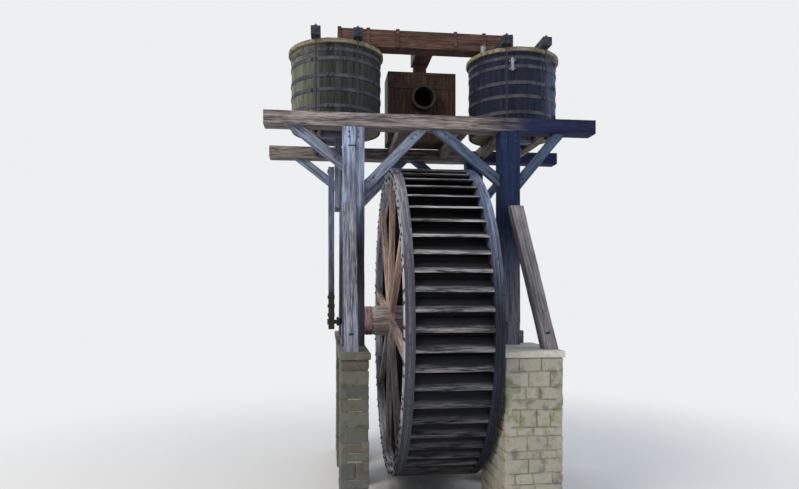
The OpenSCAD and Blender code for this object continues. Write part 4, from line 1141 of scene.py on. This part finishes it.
fittings.append(studs(flange_bolts, UP, FLANGE_BOLT_R, FLANGE_BOLT_R, 6, fitting_rng))
piece("tub_right_fittings", joined(*fittings), old_zinc, "hoop_iron")

# Air chest: a box of tongued boards between the tubs and behind them that keeps the blast
# steady, with two battens nailed across its front, where the outlet's tube goes in.
CHEST_T = 0.06
BOARD_W = 0.2
OUTLET_HOLE = 0.24
FRONT_BOARDS = 16
BATTEN = 0.02
BATTEN_HALF_H = 0.06
BATTEN_IN = 0.02
BATTEN_SHARES = (0.18, 0.82)


def wall_boards(low, high, across):
    """Boards about BOARD_W wide that fill the wall from low to high, side by side along axis
    across. Their count is the wall's width over BOARD_W, rounded."""
    low, high = np.array(low), np.array(high)
    count = round((high[across] - low[across]) / BOARD_W)
    edges = np.linspace(low[across], high[across], count + 1)
    lows, highs = np.tile(low, (count, 1)), np.tile(high, (count, 1))
    lows[:, across] = edges[:-1] + SEAM / 2
    highs[:, across] = edges[1:] - SEAM / 2
    return straight(lows, highs)


def front_boards(edges, y, low_z, high_z, hole_z):
    """Upright boards side by side between edges, each in two lengths, below and above the hole.
    A board's near end follows the hole: z = hole_z -/+ sqrt(OUTLET_HOLE^2 - x^2), or hole_z where
    x lies outside it."""
    along, deep, wide = CORNERS.T
    half = np.array([-1, 1])[:, None]
    edges = edges[:, None]
    bow = np.sqrt(np.maximum(OUTLET_HOLE ** 2 - edges ** 2, 0))
    x = np.where(wide, edges[1:] - SEAM / 4, edges[:-1] + SEAM / 4)[:, None]
    near_z = hole_z + half * np.where(wide, bow[1:], bow[:-1])[:, None]
    z = np.where(along == (half > 0), np.array([low_z, high_z])[:, None], near_z)
    return np.stack(np.broadcast_arrays(x, y + CHEST_T * deep, z), 3).reshape(-1, 8, 3)


def grain_along(axis, corners):
    """The same boxes with their side along axis first, so that the grain runs that way."""
    order = [axis, *(0 if k == axis else k for k in (1, 2))]
    return corners[:, CORNERS[:, order] @ (4, 2, 1)]


chest_oak = weathered_oak("chest boards, brown oak", "#5f483c", "#2e211b", "#211a1a", 0.5)
chest_low, chest_high = ends_of("air_chest")
cover_low, cover_high = ends_of("air_chest_covers")
outlet_low, outlet_high = ends_of("blast_outlet")
outlet = (outlet_low + outlet_high) / 2
inner_low, inner_high = chest_low + [CHEST_T, 0, 0], chest_high - [CHEST_T, 0, 0]
walls = (wall_boards(chest_low, [inner_low[0], *chest_high[1:]], 1),
         wall_boards([inner_high[0], *chest_low[1:]], chest_high, 1),
         wall_boards([inner_low[0], chest_high[1] - CHEST_T, chest_low[2]], inner_high, 0))
boards = [grain_along(2, wall) for wall in walls]
boards.append(front_boards(np.linspace(inner_low[0], inner_high[0], FRONT_BOARDS + 1), chest_low[1],
                           chest_low[2], chest_high[2], outlet[2]))
piece("air_chest_boards", worn_boxes(np.concatenate(boards), 0.004, tub_rng), chest_oak, "brown_timber",
      "air_chest")
covers = np.concatenate([wall_boards(cover_low, [*cover_high[:2], cover_low[2] + CHEST_T], 1),
                         wall_boards([*cover_low[:2], cover_high[2] - CHEST_T], cover_high, 1)])
piece("air_chest_cover_boards", worn_boxes(covers, 0.005, tub_rng), chest_oak, "brown_timber",
      "air_chest_covers")
levels = [chest_low[2] + share * (chest_high[2] - chest_low[2]) for share in BATTEN_SHARES]
battens = [straight([chest_low[0] + BATTEN_IN, chest_low[1] - BATTEN, level - BATTEN_HALF_H],
                    [chest_high[0] - BATTEN_IN, chest_low[1], level + BATTEN_HALF_H]) for level in levels]
piece("air_chest_battens", worn_boxes(np.concatenate(battens), 0.005, tub_rng), chest_oak, "brown_timber")

# Air duct: a long box of reddish pine boards on the lid bars, with legs down to the lids and to
# the chest. Cleats over it and down its sides hold the boards, two sets of them at the butts.
DUCT_HALF = 0.2
DUCT_H = 0.38
DUCT_T = 0.04
LEG_HALF_W = 0.1
LEG_HALF_D = 0.15
LEG_X = 1.8
CLEAT = 0.022
CLEAT_HALF_W = 0.04
CLEAT_SHORT = 0.01
CLEAT_SPOTS = (-1.93, -1.3, -0.65, 0.65, 1.3, 1.93)


def box_duct(low, high, along, lengths):
    """Four walls round a duct along axis along, cut into lengths. Each wall is two boards wide."""
    first, second = (k for k in range(3) if k != along)
    edges = np.linspace(low[along], high[along], lengths + 1)
    boxes = []
    for e0, e1 in zip(edges[:-1], edges[1:]):
        for axis, other, trim in ((first, second, DUCT_T), (second, first, 0)):
            near, far = low[other] + trim, high[other] - trim
            middle = (near + far) / 2
            for at in (low[axis], high[axis] - DUCT_T):
                for span in ((near, middle - SEAM / 2), (middle + SEAM / 2, far)):
                    box = np.array([low, high], float)
                    box[:, along] = e0 + SEAM / 2, e1 - SEAM / 2
                    box[:, axis] = at, at + DUCT_T
                    box[:, other] = span
                    boxes.append(straight(*box))
    return grain_along(along, np.concatenate(boxes))


duct_pine = weathered_oak("duct boards, reddish pine", "#75564a", "#382822", "#2b211e", 0.5)
duct_low, duct_high = ends_of("air_duct")
low_z, high_z = duct_high[2] - DUCT_H, duct_high[2]
chest_y = (chest_low[1] + chest_high[1]) / 2
boards = [box_duct([duct_low[0], -DUCT_HALF, low_z], [duct_high[0], DUCT_HALF, high_z], 0, 3),
          box_duct([-DUCT_HALF, DUCT_HALF, low_z], [DUCT_HALF, duct_high[1], high_z], 1, 1)]
inside, low_in, high_in = DUCT_HALF - DUCT_T, low_z + DUCT_T, high_z - DUCT_T
boards += [straight([x, -inside, low_in], [x + DUCT_T, inside, high_in])
           for x in (duct_low[0], duct_high[0] - DUCT_T)]
boards.append(straight([-inside, duct_high[1] - DUCT_T, low_in], [inside, duct_high[1], high_in]))
boards += [box_duct([x - LEG_HALF_W, -LEG_HALF_D, lid_high[2]], [x + LEG_HALF_W, LEG_HALF_D, low_z], 2, 1)
           for x in (-LEG_X, LEG_X)]
boards.append(box_duct([-LEG_HALF_D, chest_y - LEG_HALF_W, cover_high[2]],
                       [LEG_HALF_D, chest_y + LEG_HALF_W, low_z], 2, 1))
cleats = []
for x in CLEAT_SPOTS:
    sides = [(*sided(end, DUCT_HALF, DUCT_HALF + CLEAT), low_z + CLEAT_SHORT, high_z - CLEAT_SHORT)
             for end in (-1, 1)]
    over = (-DUCT_HALF - CLEAT, DUCT_HALF + CLEAT, high_z, high_z + CLEAT)
    cleats += [straight([x - CLEAT_HALF_W, y0, z0], [x + CLEAT_HALF_W, y1, z1])
               for y0, y1, z0, z1 in (*sides, over)]
piece("air_duct_boards", worn_boxes(np.concatenate(boards), 0.005, tub_rng), duct_pine, "duct_timber",
      "air_duct")
piece("air_duct_cleats", worn_boxes(np.concatenate(cleats), 0.004, tub_rng), duct_pine, "duct_timber")

# Outlet ring: the outlet's cast tube is shown as the CAD has it. Eight bolts hold its ring to
# the chest's front.
RING_BOLT_R = 0.014
RING_BOLT_CIRCLE = 0.253
ring_bolts = [(outlet[0] + RING_BOLT_CIRCLE * math.cos(a), outlet_low[1],
               outlet[2] + RING_BOLT_CIRCLE * math.sin(a)) for a in np.arange(8) * math.pi / 4 + 0.4]
piece("outlet_ring_bolts", studs(ring_bolts, (0, -1, 0), RING_BOLT_R, RING_BOLT_R, 6, tub_rng), bolt_iron,
      "iron")
